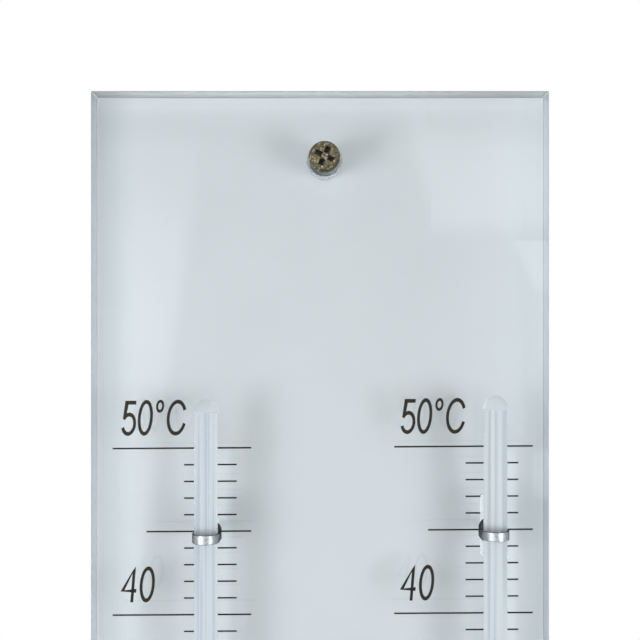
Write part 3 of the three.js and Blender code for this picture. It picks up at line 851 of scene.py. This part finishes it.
def tongue_strip(turn, above, below):
    """The flat tongue under the band, its ends rounded, from above the screw to below it."""
    back_y = -TONGUE_GAP
    tongue = block(Vector((-TONGUE_WIDTH / 2, back_y - TONGUE_THICKNESS, -below)),
                   Vector((TONGUE_WIDTH / 2, back_y, above)))
    ends = [edge for edge in tongue.edges if abs(edge.verts[0].co.y - edge.verts[1].co.y) > 0.1]
    ease(tongue, ends, 0.5, 5)
    rims = [edge for edge in tongue.edges if abs(edge.verts[0].co.y - edge.verts[1].co.y) < 0.01]
    ease(tongue, rims, 0.12)
    return placed(mesh_of(tongue), (0, 0, 0), turn, "Y")


def band_clip(place, turn, above, below):
    """Band, tongue and the screw hole through both."""
    band = placed(strip_mesh(loop_path(), True, band_height, BAND_THICKNESS, 0.12), (0, 0, -BAND_DROP))
    clip = worked(band, tongue_strip(turn, above, below), "UNION")
    clip = worked(clip, placed(drill(SCREW_BORE, -OVERRUN, SHOULDER_DEPTH), (0, 0, 0), 90))
    # Finishes: 1 on the thin rims is painted shade, 2 on the tongue is pale and glows faintly as a painted
    # reflection, and 3 near the board is painted shade.
    for face in clip.polygons:
        rim = abs(face.normal.z) > 0.4
        if face.center.y > -TONGUE_GAP - TONGUE_THICKNESS - 0.01:
            face.material_index = 1 if rim else 2
        elif face.center.y > -SHOULDER_DEPTH - 0.6:
            face.material_index = 3
        elif rim:
            face.material_index = 1
    return placed(clip, (place.x, front_y, place.z))


band_front = (centre_of("wet_glass").y - LOOP_RADIUS) * MM
clip_finishes = [
    bright_metal("band_metal", 1.0, band_front, front_y * MM),
    # Painted shade on the thin rims of the band and the ends of the tongue.
    bright_metal("shaded_rim_metal", 0.4),
    # Painted reflection: the flat tongue is pale and glows faintly, standing for the white it mirrors.
    bright_metal("glowing_tongue_metal", 2.12, Metallic=0.05, Emission_Color=(0.95, 0.98, 1.0, 1.0),
                 Emission_Strength=0.3),
    # Painted shade on the legs and eye near the board, behind the stem.
    bright_metal("shaded_base_metal", 0.32)]
for name, turn, above, below in (
        ("wet_upper", WET_TURN, 7.4, 3.2), ("wet_lower", 0, 7.4, 3.2),
        ("dry_upper", 0, 9.1, 7.0), ("dry_lower", 0, 9.1, 7.0)):
    clip = band_clip(centre_of(f"{name}_screw"), turn, above, below)
    put(f"{name}_band", clip, clip_finishes, "board", f"{name}_clip")


# ---------------------------------------------------------------- Pan-head screws
# Small dark machine screws with domed pan heads and a cross recess. Four hold the clips,
# half hidden behind the stems, and two hold the strap of the vial.

PAN_RADIUS = 2.95
PAN_HEIGHT = 2.1
PAN_SHANK = 1.5
PAN_PITCH = 0.5
PAN_RECESS = (1.7, 0.85, 1.1, 0.6, -20.0)


def pan_screw(node):
    """Pan head and threaded shank, its height measured forward from the seat."""
    low, high = corners_of(node)
    seat_y = low.y + PAN_HEIGHT
    outline = threaded(PAN_SHANK, high.y - seat_y, PAN_PITCH, 0.5, 0.82, 0.6, 0.2)
    outline += [(PAN_SHANK, 0), (PAN_RADIUS - 0.15, 0), (PAN_RADIUS, 0.15)]
    outline += arc(0, PAN_HEIGHT * 0.42, PAN_RADIUS, PAN_HEIGHT * 0.58, 0, 81, 9) + [(0, PAN_HEIGHT)]
    screw = cross_cut(turned(outline, 64), PAN_HEIGHT, *PAN_RECESS)
    return placed(screw, ((low.x + high.x) / 2, seat_y, (low.z + high.z) / 2), 90)


# Nearly black steel, worn to grey in random patches. Its near-black tone is painted shade for the clip
# screws that sit behind the stems.
dark, wear = mottled("dark_steel", (0.06, 0.062, 0.065), 0.35, (900.0, 5.0, 0.65), [
    (0.38, (0.030, 0.031, 0.033)), (0.55, (0.085, 0.088, 0.092)), (0.7, (0.26, 0.26, 0.265))], Metallic=0.9)
bumpy(dulled(dark, wear, 0.42, 0.26), wear, 0.00008, 0.6)
for node in clip_screws + strap_screws:
    put(f"{node}_dark", pan_screw(node), [dark], "board", node)


# ---------------------------------------------------------------- Thermometers
# Drawn glass stems with a fine bore, a domed end, a drawn-in neck and a thin blown bulb. A white
# enamel strip runs inside the back of each stem, and red spirit fills the bulb and the bore.

STEM_RADIUS = 3.0
STEM_SIDES = 128
CLEAR_END = 3.6
BORE_TOP = 2.2
BORE_RADIUS = 0.18
BORE_LAP = 0.015
BULB_RADIUS = 2.7
BULB_LENGTH = 15.0
BULB_WALL = 0.6
NECK_RADIUS = 2.2
NECK_LENGTH = 3.0
ENAMEL_FRONT = 1.9
ENAMEL_RADIUS = 2.75
HOLLOW_SIDES = 48


def out_of_mirrors(look, seen_through_glass):
    """Leave a piece out of the mirror images around it, where it would only be noise. A piece inside
    glass stays in what is seen through the glass."""
    mirrored = ray(look, "Is Glossy Ray")
    if seen_through_glass:
        through = ray(look, "Is Transmission Ray")
        mirrored = maths(look, "SUBTRACT", mirrored, through, use_clamp=True)
    return give_way(look, mirrored, see_through(look, (0.97, 0.98, 0.985)))


def clear_glass(name="clear_glass", tint=(0.93, 0.96, 0.98), bending=1.5, polish=0.0, clearness=1.0,
                share=(0.74, 0.75, 0.755)):
    """Clear drawn glass with the faint lengthwise lines of drawing. The end melted round is milkier."""
    glass = new_finish(name, tint, polish, IOR=bending, Transmission_Weight=clearness,
                       Specular_IOR_Level=0.25, Specular_Tint=(0.05, 0.05, 0.05, 1.0))
    lines = cloud(glass, 900.0, 2.0, stretch=(1.0, 1.0, 0.02))
    return out_of_mirrors(lets_lamps_through(bumpy(glass, lines, 0.000001, 0.3), share), False)


def round_end(radius, base, way):
    """Points of a round end, from its side in to the axis."""
    return arc(0, base, radius, way * radius, 0, 90, 14)


def stem_outline(bottom, top):
    """The outside of the glass from the end of the bulb to the dome."""
    bulb_top = bottom + BULB_LENGTH
    lower = round_end(BULB_RADIUS, bottom + BULB_RADIUS, -1)[::-1]
    neck_top = bulb_top + NECK_LENGTH
    body = softened([
        lower[-1], (BULB_RADIUS, bulb_top - 0.8), (NECK_RADIUS, bulb_top), (NECK_RADIUS, neck_top),
        (STEM_RADIUS, neck_top + 1.4), (STEM_RADIUS, top - CLEAR_END)], 1.6, 6)
    return lower[:-1] + body + round_end(STEM_RADIUS, top - STEM_RADIUS, 1)


def bore_outline(bottom, top, lap):
    """The hollow of the bulb and the fine bore. lap makes the same outline for what fills it."""
    bulb_top = bottom + BULB_LENGTH
    hollow = BULB_RADIUS - BULB_WALL + lap
    bore = BORE_RADIUS + lap
    lower = round_end(hollow, bottom + BULB_RADIUS, -1)[::-1]
    narrow = (bore, bulb_top + NECK_LENGTH * 0.4)
    return lower[:-1] + softened([lower[-1], (hollow, bulb_top - 1.6), narrow, (bore, top - 1.2)], 1.2, 6)


def stem_glass(bottom, top):
    """One glass: its outer skin, and the skin of its hollow turned inwards."""
    end = top - BORE_TOP
    tip = [(BORE_RADIUS * 0.7, end - 0.7), (0, end)]
    hollow = turned(bore_outline(bottom, end, 0.0) + tip, HOLLOW_SIDES)
    hollow.flip_normals()
    glass = joined([turned(stem_outline(bottom, top), STEM_SIDES), hollow])
    for face in glass.polygons:
        in_bore = bottom + BULB_LENGTH < face.center.z < end
        if in_bore and hypot(face.center.x, face.center.y) < BORE_RADIUS * 1.1:
            face.material_index = 2
        elif face.center.z > top - CLEAR_END:
            face.material_index = 1
    return glass


def enamel_strip(bottom, top):
    """A strip behind the bore, flat in front and round behind."""
    half = degrees(acos(ENAMEL_FRONT / ENAMEL_RADIUS))
    section = arc(0, 0, ENAMEL_RADIUS, ENAMEL_RADIUS, 90 + half, 90 - half, 16)
    return skin([[(x, y, z) for x, y in section] for z in (bottom, top)], False, True)


def spirit_column(bottom, level):
    """The spirit in the bulb and the bore up to its level, just lapping into the glass."""
    bore = BORE_RADIUS + BORE_LAP
    return turned(bore_outline(bottom, level + 1.2, BORE_LAP) + [
        (bore, level), (bore * 0.6, level - 0.15), (0, level - 0.2)], HOLLOW_SIDES)


glass_finishes = [
    clear_glass(), clear_glass("dome_glass", (0.88, 0.92, 0.95), 1.25, 0.08, 0.78),
    clear_glass("bore_glass", (0.86, 0.89, 0.92), share=(0.97, 0.98, 0.985))]
# White enamel with fine streaks, a little blue in the light, and deep red spirit that looks wet.
enamel, streaks = mottled(
    "milk_enamel", (0.85, 0.92, 0.97), 0.35, (2400.0, 2.0, 0.55, (1.0, 1.0, 0.003)), [
        (0.40, (0.71, 0.79, 0.865)), (0.47, (0.84, 0.91, 0.965)), (0.62, (0.925, 0.965, 0.99))],
    Specular_IOR_Level=0.0)
out_of_mirrors(bumpy(enamel, streaks, 0.00004, 0.5), True)
spirit = mottled("red_spirit", (0.55, 0.020, 0.016), 0.08, (220.0, 2.0), [
    (0.35, (0.46, 0.013, 0.012)), (0.65, (0.62, 0.028, 0.020))])[0]
for name in ("wet", "dry"):
    body = f"{name}_thermometer"
    middle = centre_of(f"{name}_spirit")
    bottom = corners_of(f"{name}_glass")[0].z
    top = corners_of(f"{name}_glass")[1].z
    level = corners_of(f"{name}_spirit")[1].z
    stem, strip, column = [placed(mesh, (middle.x, middle.y, 0)) for mesh in (
        stem_glass(bottom, top),
        enamel_strip(corners_of(f"{name}_enamel")[0].z, top - CLEAR_END),
        spirit_column(bottom, level))]
    put(f"{name}_stem", stem, glass_finishes, body, f"{name}_glass", 60.0)
    put(f"{name}_enamel_strip", strip, [enamel], body, f"{name}_enamel", 40.0)
    put(f"{name}_spirit_column", column, [spirit], body, f"{name}_spirit", 50.0)


# ---------------------------------------------------------------- Wick and its thread
# A sleeve of white cotton muslin pulled over the wet bulb and gathered below it into a soft
# tail that dips into the vial. Four turns of thread tie it tight round the neck.

WICK_RADIUS = 3.45
WICK_INNER = 2.52
WICK_NECK = 2.95
TAIL_RADIUS = 1.35
TAIL_STEPS = 46
WEAVE_PITCH = 0.42
WAVE_PER_UNIT = 3.18
WICK_SIDES = 72
THREAD_RADIUS = 0.15
THREAD_TURNS = 4
THREAD_LINE = WICK_NECK + 0.22


def woven(name, color):
    """Open plain-weave cotton: crossing threads as bumps and tone, soft and matt."""
    cloth = new_finish(name, color, 0.9, Sheen_Weight=0.3, Sheen_Roughness=0.5)
    where = add(cloth, "UVMap", uv_map="weave").outputs["UV"]
    warp, weft = [add(cloth, "TexWave", {
        "Vector": where, "Scale": 1.0, "Distortion": 0.6, "Detail": 1.0, "Detail Scale": 1.5},
        wave_type="BANDS", bands_direction=way, wave_profile="SIN").outputs["Fac"] for way in ("X", "Y")]
    threads = maths(cloth, "MAXIMUM", warp, weft)
    tone = steps_of(cloth, threads, [
        (0.25, tuple(c * 0.62 for c in color)), (0.6, tuple(c * 0.93 for c in color)), (1.0, color)])
    bumpy(colored(cloth, tone), threads, 0.00016, 0.9)
    return bumpy(cloth, cloud(cloth, 2600.0, 4.0, 0.7), 0.00008, 0.5)


def wick_line(low, top):
    """The outside of the wick as (radius, height, fold depth) from the tail's end up to the neck."""
    bulb_top = glass_bottom + BULB_LENGTH
    z = glass_bottom - 1.5
    line = []
    for step in range(TAIL_STEPS + 1):
        height = low + (z - low) * step / TAIL_STEPS
        line.append((TAIL_RADIUS * (1 + 0.05 * sin(height * 0.9)), height, 0.12))
    radius = TAIL_RADIUS
    for steps, next_radius, next_z, curve, fold, next_fold in (
            (12, WICK_RADIUS, glass_bottom + 2.1, smooth, 0.12, 0.06),
            (24, WICK_RADIUS, bulb_top - 1.4, float, 0.045, 0.045),
            (8, WICK_NECK, bulb_top + 0.4, float, 0.05, 0.1),
            (8, WICK_NECK + 0.12, top, lambda share: share * share, 0.1, 0.1)):
        for share in [step / steps for step in range(1, steps + 1)]:
            line.append((radius + (next_radius - radius) * curve(share), z + (next_z - z) * share,
                         fold + (next_fold - fold) * share))
        radius = next_radius
        z = next_z
    return line


def wick_mesh(low, top):
    """Muslin tube with soft gathers, closed over its frayed ends and open round the neck."""
    line = wick_line(low, top)
    sides = [tau * side / WICK_SIDES for side in range(WICK_SIDES)]
    rings = []
    for radius, z, fold in line:
        ring = []
        for turn in sides:
            twist = turn + 0.035 * (z - low)
            gather = sin(7 * twist + 1.3 * sin(0.35 * z)) + 0.5 * sin(12 * twist + 0.5 * z)
            lump = noise.noise(on_ring(radius * 0.9, turn, z * 0.45))
            ring.append(on_ring(max(radius + fold * gather * 0.66 + 0.09 * lump, 0.6), turn, z))
        rings.append(ring)
    for radius, z in ((WICK_INNER, top), (WICK_INNER - 0.05, top - 1.2)):
        rings.append([on_ring(radius, turn, z) for turn in sides])
    cloth = skin(rings, False, True)
    weave = cloth.uv_layers.new(name="weave")
    for face in list(cloth.polygons)[:(len(rings) - 1) * WICK_SIDES]:
        step, side = divmod(face.index, WICK_SIDES)
        threads = round(max(tau * line[min(step, len(line) - 1)][0] / WEAVE_PITCH, 1.0))
        for loop in face.loop_indices:
            corner = cloth.loops[loop].vertex_index
            share = (side + (corner % WICK_SIDES != side)) / WICK_SIDES
            z = cloth.vertices[corner].co.z
            weave.data[loop].uv = (share * threads / WAVE_PER_UNIT, z / WEAVE_PITCH / WAVE_PER_UNIT)
    return cloth


def thread_along(points, radius, sides=10):
    """A round thread along a line of points, with closed ends."""
    rings = []
    for before, point, after in with_neighbours(points):
        way = (after - before).normalized()
        out = way.cross(Vector((0, 0, 1)))
        if out.length < 0.05:
            out = way.cross(Vector((1, 0, 0)))
        out.normalize()
        other = way.cross(out).normalized()
        ring = [on_ring(radius, tau * side / sides, 0) for side in range(sides)]
        rings.append([point + out * corner.x + other * corner.y for corner in ring])
    return skin(rings, False, True)


def thread_tie(low, high):
    """Four turns of thread, a knot in front and its two cut ends."""
    steps = 40 * THREAD_TURNS
    points = []
    for step in range(steps + 1):
        z = low + THREAD_RADIUS + (high - low - 2 * THREAD_RADIUS) * step / steps
        points.append(on_ring(THREAD_LINE, tau * step / 40 - pi / 2, z))
    parts = [thread_along(points, THREAD_RADIUS)]
    knot_place = Vector((0, -THREAD_LINE - THREAD_RADIUS, (low + high) / 2))
    for way in (-1, 1):
        end = [knot_place + Vector((way * x, y, z)) for x, y, z in (
            (0.1, 0, 0), (0.35, -0.12, -0.1), (0.7, -0.05, -0.55), (0.9, 0.1, -1.3), (0.95, 0.3, -2.1))]
        parts.append(thread_along(end, THREAD_RADIUS * 0.95))
    knot = bmesh.new()
    bmesh.ops.create_icosphere(knot, subdivisions=2, radius=0.36)
    for corner in knot.verts:
        corner.co *= 1 + 0.16 * noise.noise(corner.co * 6)
    bmesh.ops.scale(knot, vec=(1.2, 0.75, 0.85), verts=knot.verts)
    parts.append(placed(mesh_of(knot), knot_place))
    return joined(parts)


glass_bottom = corners_of("wet_glass")[0].z
wick_low, wick_high = corners_of("wick")
wet_middle = centre_of("wet_spirit")
wet_axis = (wet_middle.x, wet_middle.y, 0)
wick = placed(wick_mesh(wick_low.z, wick_high.z), wet_axis)
put("muslin_wick", wick, [woven("muslin", (0.86, 0.845, 0.79))], "wet_thermometer", "wick", 60.0)
cotton = new_finish("cotton_thread", (0.88, 0.865, 0.81), 0.85, Sheen_Weight=0.2)
twist = add(cotton, "TexWave", {"Vector": place_on(cotton), "Scale": 900.0, "Distortion": 1.0},
            wave_type="BANDS", bands_direction="DIAGONAL")
bumpy(cotton, twist.outputs["Fac"], 0.00006, 0.7)
tie_low, tie_high = corners_of("wick_tie")
tie = placed(thread_tie(tie_low.z, tie_high.z), wet_axis)
put("thread_tie", tie, [cotton], "wet_thermometer", "wick_tie", 60.0)


# ---------------------------------------------------------------- Water vial
# A small glass vial with a heavy rim, part filled with clean water. A white push-in cap
# closes it, and the wick passes down through a hole in the cap.

VIAL_RADIUS = 9.5
VIAL_WALL = 1.2
VIAL_FLOOR = 1.6
VIAL_SIDES = 128
RIM_RADIUS = 10.9
RIM_HEIGHT = 2.4
WATER_LAP = 0.02
WATER_TINT = (0.95, 0.98, 0.99)
CAP_PLUG_DEPTH = 4.0
CAP_PLUG_WALL = 1.0
CAP_HOLE = 2.2


def wavy_clear(name, tint, bending, patches, depth, strength):
    """Clear glass or water with slow waves in its surface."""
    clear = new_finish(name, tint, 0.0, IOR=bending, Transmission_Weight=1.0)
    return bumpy(clear, cloud(clear, *patches), depth, strength)


vial_low, vial_high = corners_of("reservoir_vial")
vial_middle = centre_of("reservoir_vial")
vial_foot = (vial_middle.x, vial_middle.y, vial_low.z)
vial_height = vial_high.z - vial_low.z
vial_inner = VIAL_RADIUS - VIAL_WALL
outside = softened([
    (0, 0.5), (5.5, 0.35), (7.2, 0), (VIAL_RADIUS, 0), (VIAL_RADIUS, vial_height - RIM_HEIGHT - 0.4),
    (RIM_RADIUS, vial_height - RIM_HEIGHT), (RIM_RADIUS, vial_height), (vial_inner, vial_height),
    (vial_inner, VIAL_FLOOR), (0, VIAL_FLOOR)], 0.9, 6)
vial = placed(turned(outside, VIAL_SIDES), vial_foot)
blown_glass = lets_lamps_through(wavy_clear(
    "vial_glass", (0.975, 0.99, 0.985), 1.5, (160.0, 2.0, 0.55, (1.0, 1.0, 0.5)), 0.00008, 0.35))
put("glass_vial", vial, [blown_glass], "reservoir", "reservoir_vial", 60.0)

filled = vial_inner + WATER_LAP
level = corners_of("reservoir_water")[1].z - vial_low.z
water_outline = softened([
    (0, VIAL_FLOOR - WATER_LAP), (filled, VIAL_FLOOR - WATER_LAP), (filled, level + 0.55)], 0.9, 6)
water_outline += [(filled - inside, level + rise) for inside, rise in (
    (0.25, 0.25), (0.7, 0.06), (1.4, 0.0), (filled, 0.0))]
water = placed(turned(water_outline, VIAL_SIDES), vial_foot)
clean_water = wavy_clear("clean_water", WATER_TINT, 1.33, (120.0, 1.0), 0.00003, 0.2)
lets_lamps_through(clean_water, WATER_TINT)
put("vial_water", water, [clean_water], "reservoir", "reservoir_water", 60.0)

cap_low, cap_high = corners_of("reservoir_cap")
plug = vial_inner - 0.2
cap_rise = cap_high.z - cap_low.z - CAP_PLUG_DEPTH
cap_outline = softened([
    (0, 0), (plug - CAP_PLUG_WALL, 0), (plug - CAP_PLUG_WALL, -CAP_PLUG_DEPTH), (plug, -CAP_PLUG_DEPTH),
    (plug, 0), (RIM_RADIUS, 0), (RIM_RADIUS, cap_rise), (RIM_RADIUS - 1.6, cap_rise),
    (RIM_RADIUS - 2.2, cap_rise - 0.35), (0, cap_rise - 0.35)], 0.35)


def gripped(radius, height, turn):
    """Fine ribs round the rim of the cap."""
    if radius > RIM_RADIUS - 0.4 and 0.2 < height < cap_rise - 0.2:
        return radius - 0.14 * (0.5 + 0.5 * cos(turn * 60)) ** 2
    return radius


wick_hole = turned([
    (0, -CAP_PLUG_DEPTH - 1), (CAP_HOLE, -CAP_PLUG_DEPTH - 1), (CAP_HOLE, cap_rise - 0.75),
    (CAP_HOLE + 0.4, cap_rise - 0.3), (CAP_HOLE + 0.4, cap_rise + 1), (0, cap_rise + 1)], 48)
cap = worked(turned(cap_outline, 360, gripped), placed(wick_hole, (0, wet_middle.y - vial_middle.y, 0)))
cap = placed(cap, (vial_middle.x, vial_middle.y, cap_high.z - cap_rise))
# The cap's white plastic has a faint grain and mould swirl.
plastic = mottled("cap_plastic", (0.80, 0.81, 0.80), 0.38, (300.0,), [
    (0.3, (0.77, 0.78, 0.775)), (0.7, (0.84, 0.85, 0.84))])[0]
grain = cloud(plastic, 4200.0, 2.0)
bumpy(dulled(plastic, grain, 0.3, 0.46), grain, 0.00003, 0.5)
put("push_in_cap", cap, [plastic], "cap", "reservoir_cap")


# ---------------------------------------------------------------- Strap of the vial
# One strip of the same bright metal as the clips, bent round the vial so that its rim rests on
# the top edge. Each end is a flat ear held to the board by a pan-head screw.

STRAP_THICKNESS = 0.8
STRAP_HEIGHT = 10.0
EAR_LENGTH = 9.0

strap_low, strap_high = corners_of("reservoir_strap")
strap_reach = (strap_high.x - strap_low.x) / 2
strap_radius = strap_reach - EAR_LENGTH - STRAP_THICKNESS / 2
axis_depth = front_y - vial_middle.y
ear_depth = TONGUE_GAP + STRAP_THICKNESS / 2
ear = softened([(strap_reach, ear_depth), (strap_radius, ear_depth), (strap_radius, axis_depth)], 1.0, 6)
strap_path = ear[:-1] + arc(0, axis_depth, strap_radius, strap_radius, 0, 180, 64)
strap_path += [(-x, depth) for x, depth in ear[-2::-1]]
strap = strip_mesh(strap_path, False, lambda x, depth: STRAP_HEIGHT, STRAP_THICKNESS, 0.2)
for node in strap_screws:
    hole = drill(SCREW_BORE, -OVERRUN, 3)
    strap = worked(strap, placed(hole, (centre_of(node).x - vial_middle.x, 0, 0), 90))
strap = placed(strap, (vial_middle.x, front_y, (strap_low.z + strap_high.z) / 2))
put("vial_strap", strap, [bright_metal("strap_metal", 1.1)], "board", "reservoir_strap")


# ---------------------------------------------------------------- Floor, light and camera
# A plain pale studio floor just under the board, two soft lamps in front and to the sides, weak
# wide panels behind them that the polish mirrors, and the camera square to the board's upper part.

FLOOR_RADIUS = 0.62
FLOOR_GAP = 0.0006
BOARD_FACE = front_y * MM
FILL_LIGHT = 0.31
WHITE = (1.0, 1.0, 1.0)
LAMP_SIZE = (0.20, 0.30)
LAMP_FADE = (0.25, 0.25, 0.35, 0.35)
LAMP_AIM = (0.0, BOARD_FACE, 0.09)
PANEL_AWAY = 0.6
PANEL_TINT = (0.93, 0.97, 1.0)
IMAGE_SIDE = 640


def pale_floor():
    """Pale matt floor that fades to the white around it, and keeps the shadow of the board."""
    floor = mottled("pale_floor", (0.82, 0.83, 0.84), 0.8, (9.0,), [
        (0.3, (0.81, 0.82, 0.83)), (0.7, (0.83, 0.84, 0.85))])[0]
    reach = add(floor, "VectorMath", {0: place_on(floor)}, operation="LENGTH").outputs["Value"]
    fade = ranged(floor, reach, FLOOR_RADIUS * 0.45, FLOOR_RADIUS * 0.97, 0.0, 1.0)
    seen = maths(floor, "MAXIMUM", ray(floor, "Is Camera Ray"), ray(floor, "Is Transmission Ray"))
    white = add(floor, "Emission", {"Color": (*WHITE, 1.0), "Strength": 1.0})
    return give_way(floor, maths(floor, "MULTIPLY", fade, seen), white.outputs["Emission"])


def studio_world():
    """White to the eye and in glass and metal, and a softer fill light on matt surfaces."""
    world = bpy.data.worlds.new("studio")
    world.use_nodes = True
    bpy.context.scene.world = world
    background = world.node_tree.nodes["Background"]
    seen = ray(world, "Is Camera Ray")
    for kind in ("Is Glossy Ray", "Is Transmission Ray"):
        seen = maths(world, "MAXIMUM", seen, ray(world, kind))
    lead(world, (*WHITE, 1.0), background, "Color")
    lead(world, ranged(world, seen, 0.0, 1.0, FILL_LIGHT, 1.0), background, "Strength")


def lamp(name, place, aim, size, radiance, tint, roll, fade):
    """A soft rectangular lamp of the given brightness that looks at a point. fade gives the shares
    of its width and height over which it grows dim at its left, right, lower and upper edge."""
    light = bpy.data.lights.new(name, "AREA")
    light.shape = "RECTANGLE"
    light.size, light.size_y = size
    light.energy = radiance * pi * light.size * light.size_y
    light.color = tint
    light.use_nodes = True
    spot = add(light, "NewGeometry").outputs["Parametric"]
    sides = add(light, "SeparateXYZ", {"Vector": spot})
    level = None
    for share, axis, start, way in zip(fade, "XXYY", (0, 1, 0, 1), (1, -1, 1, -1)):
        if share:
            dimmed = add(light, "MapRange", {
                "Value": sides.outputs[axis], "From Min": start, "From Max": start + way * share},
                interpolation_type="SMOOTHSTEP").outputs["Result"]
            level = dimmed if level is None else maths(light, "MULTIPLY", level, dimmed)
    lead(light, level, light.node_tree.nodes["Emission"], "Strength")
    holder = in_scene(name, light)
    holder.location = place
    towards = (Vector(aim) - Vector(place)).to_track_quat("-Z", "Y")
    holder.rotation_euler = (towards.to_matrix() @ Matrix.Rotation(radians(roll), 3, "Z")).to_euler()
    holder.visible_camera = False
    holder.visible_transmission = False


ground = bmesh.new()
bmesh.ops.create_circle(ground, cap_ends=True, segments=96, radius=FLOOR_RADIUS)
floor = in_scene("studio_floor", mesh_of(ground))
floor.data.materials.append(pale_floor())
floor.location = (0, 0, board_low.z * MM - FLOOR_GAP)

studio_world()
for name, x, z, radiance in (("left_soft_lamp", -0.292, 0.057, 8.8), ("right_soft_lamp", 0.292, 0.060, 8.1)):
    lamp(name, (x, BOARD_FACE - 0.334, z), LAMP_AIM, LAMP_SIZE, radiance, WHITE, 0.0, LAMP_FADE)
for name, x, z, size, radiance, roll, fade in (
        ("left_panel", -0.2205, 0.09, (0.16, 0.62), 1.7, -7.4, (0.12, 0.12, 0.0, 0.3)),
        ("right_panel", 0.1696, 0.3165, (0.1407, 0.151), 1.5, 0.0, (0.0, 0.0, 0.16, 0.6)),
        ("right_panel_side", 0.0926, 0.3165, (0.028, 0.151), 1.5, 15.7, (0.6, 0.0, 0.16, 0.6)),
        ("right_panel_foot", 0.2018, 0.2189, (0.040, 0.0672), 1.5, 24.7, (0.3, 0.0, 0.3, 0.0)),
        ("right_panel_low", 0.216, 0.0231, (0.050, 0.0516), 1.5, 0.0, (0.15, 0.0, 0.15, 0.15))):
    lamp(name, (x, BOARD_FACE - PANEL_AWAY, z), (x, BOARD_FACE, z), size, radiance, PANEL_TINT, roll, fade)

# The camera looks straight at the board from 233 mm in front of it.
camera_data = bpy.data.cameras.new("camera")
camera_data.lens = 50.07
camera_data.sensor_width = 36.0
camera_data.shift_x = -7 / IMAGE_SIDE
camera_data.shift_y = 25 / IMAGE_SIDE
camera_data.clip_start = 0.01
camera = in_scene("camera", camera_data)
camera.location = (0.00183, -0.2452, 0.1435)
camera.rotation_euler = (radians(90), 0, 0)
bpy.context.scene.camera = camera
bpy.context.scene.view_settings.view_transform = "Standard"
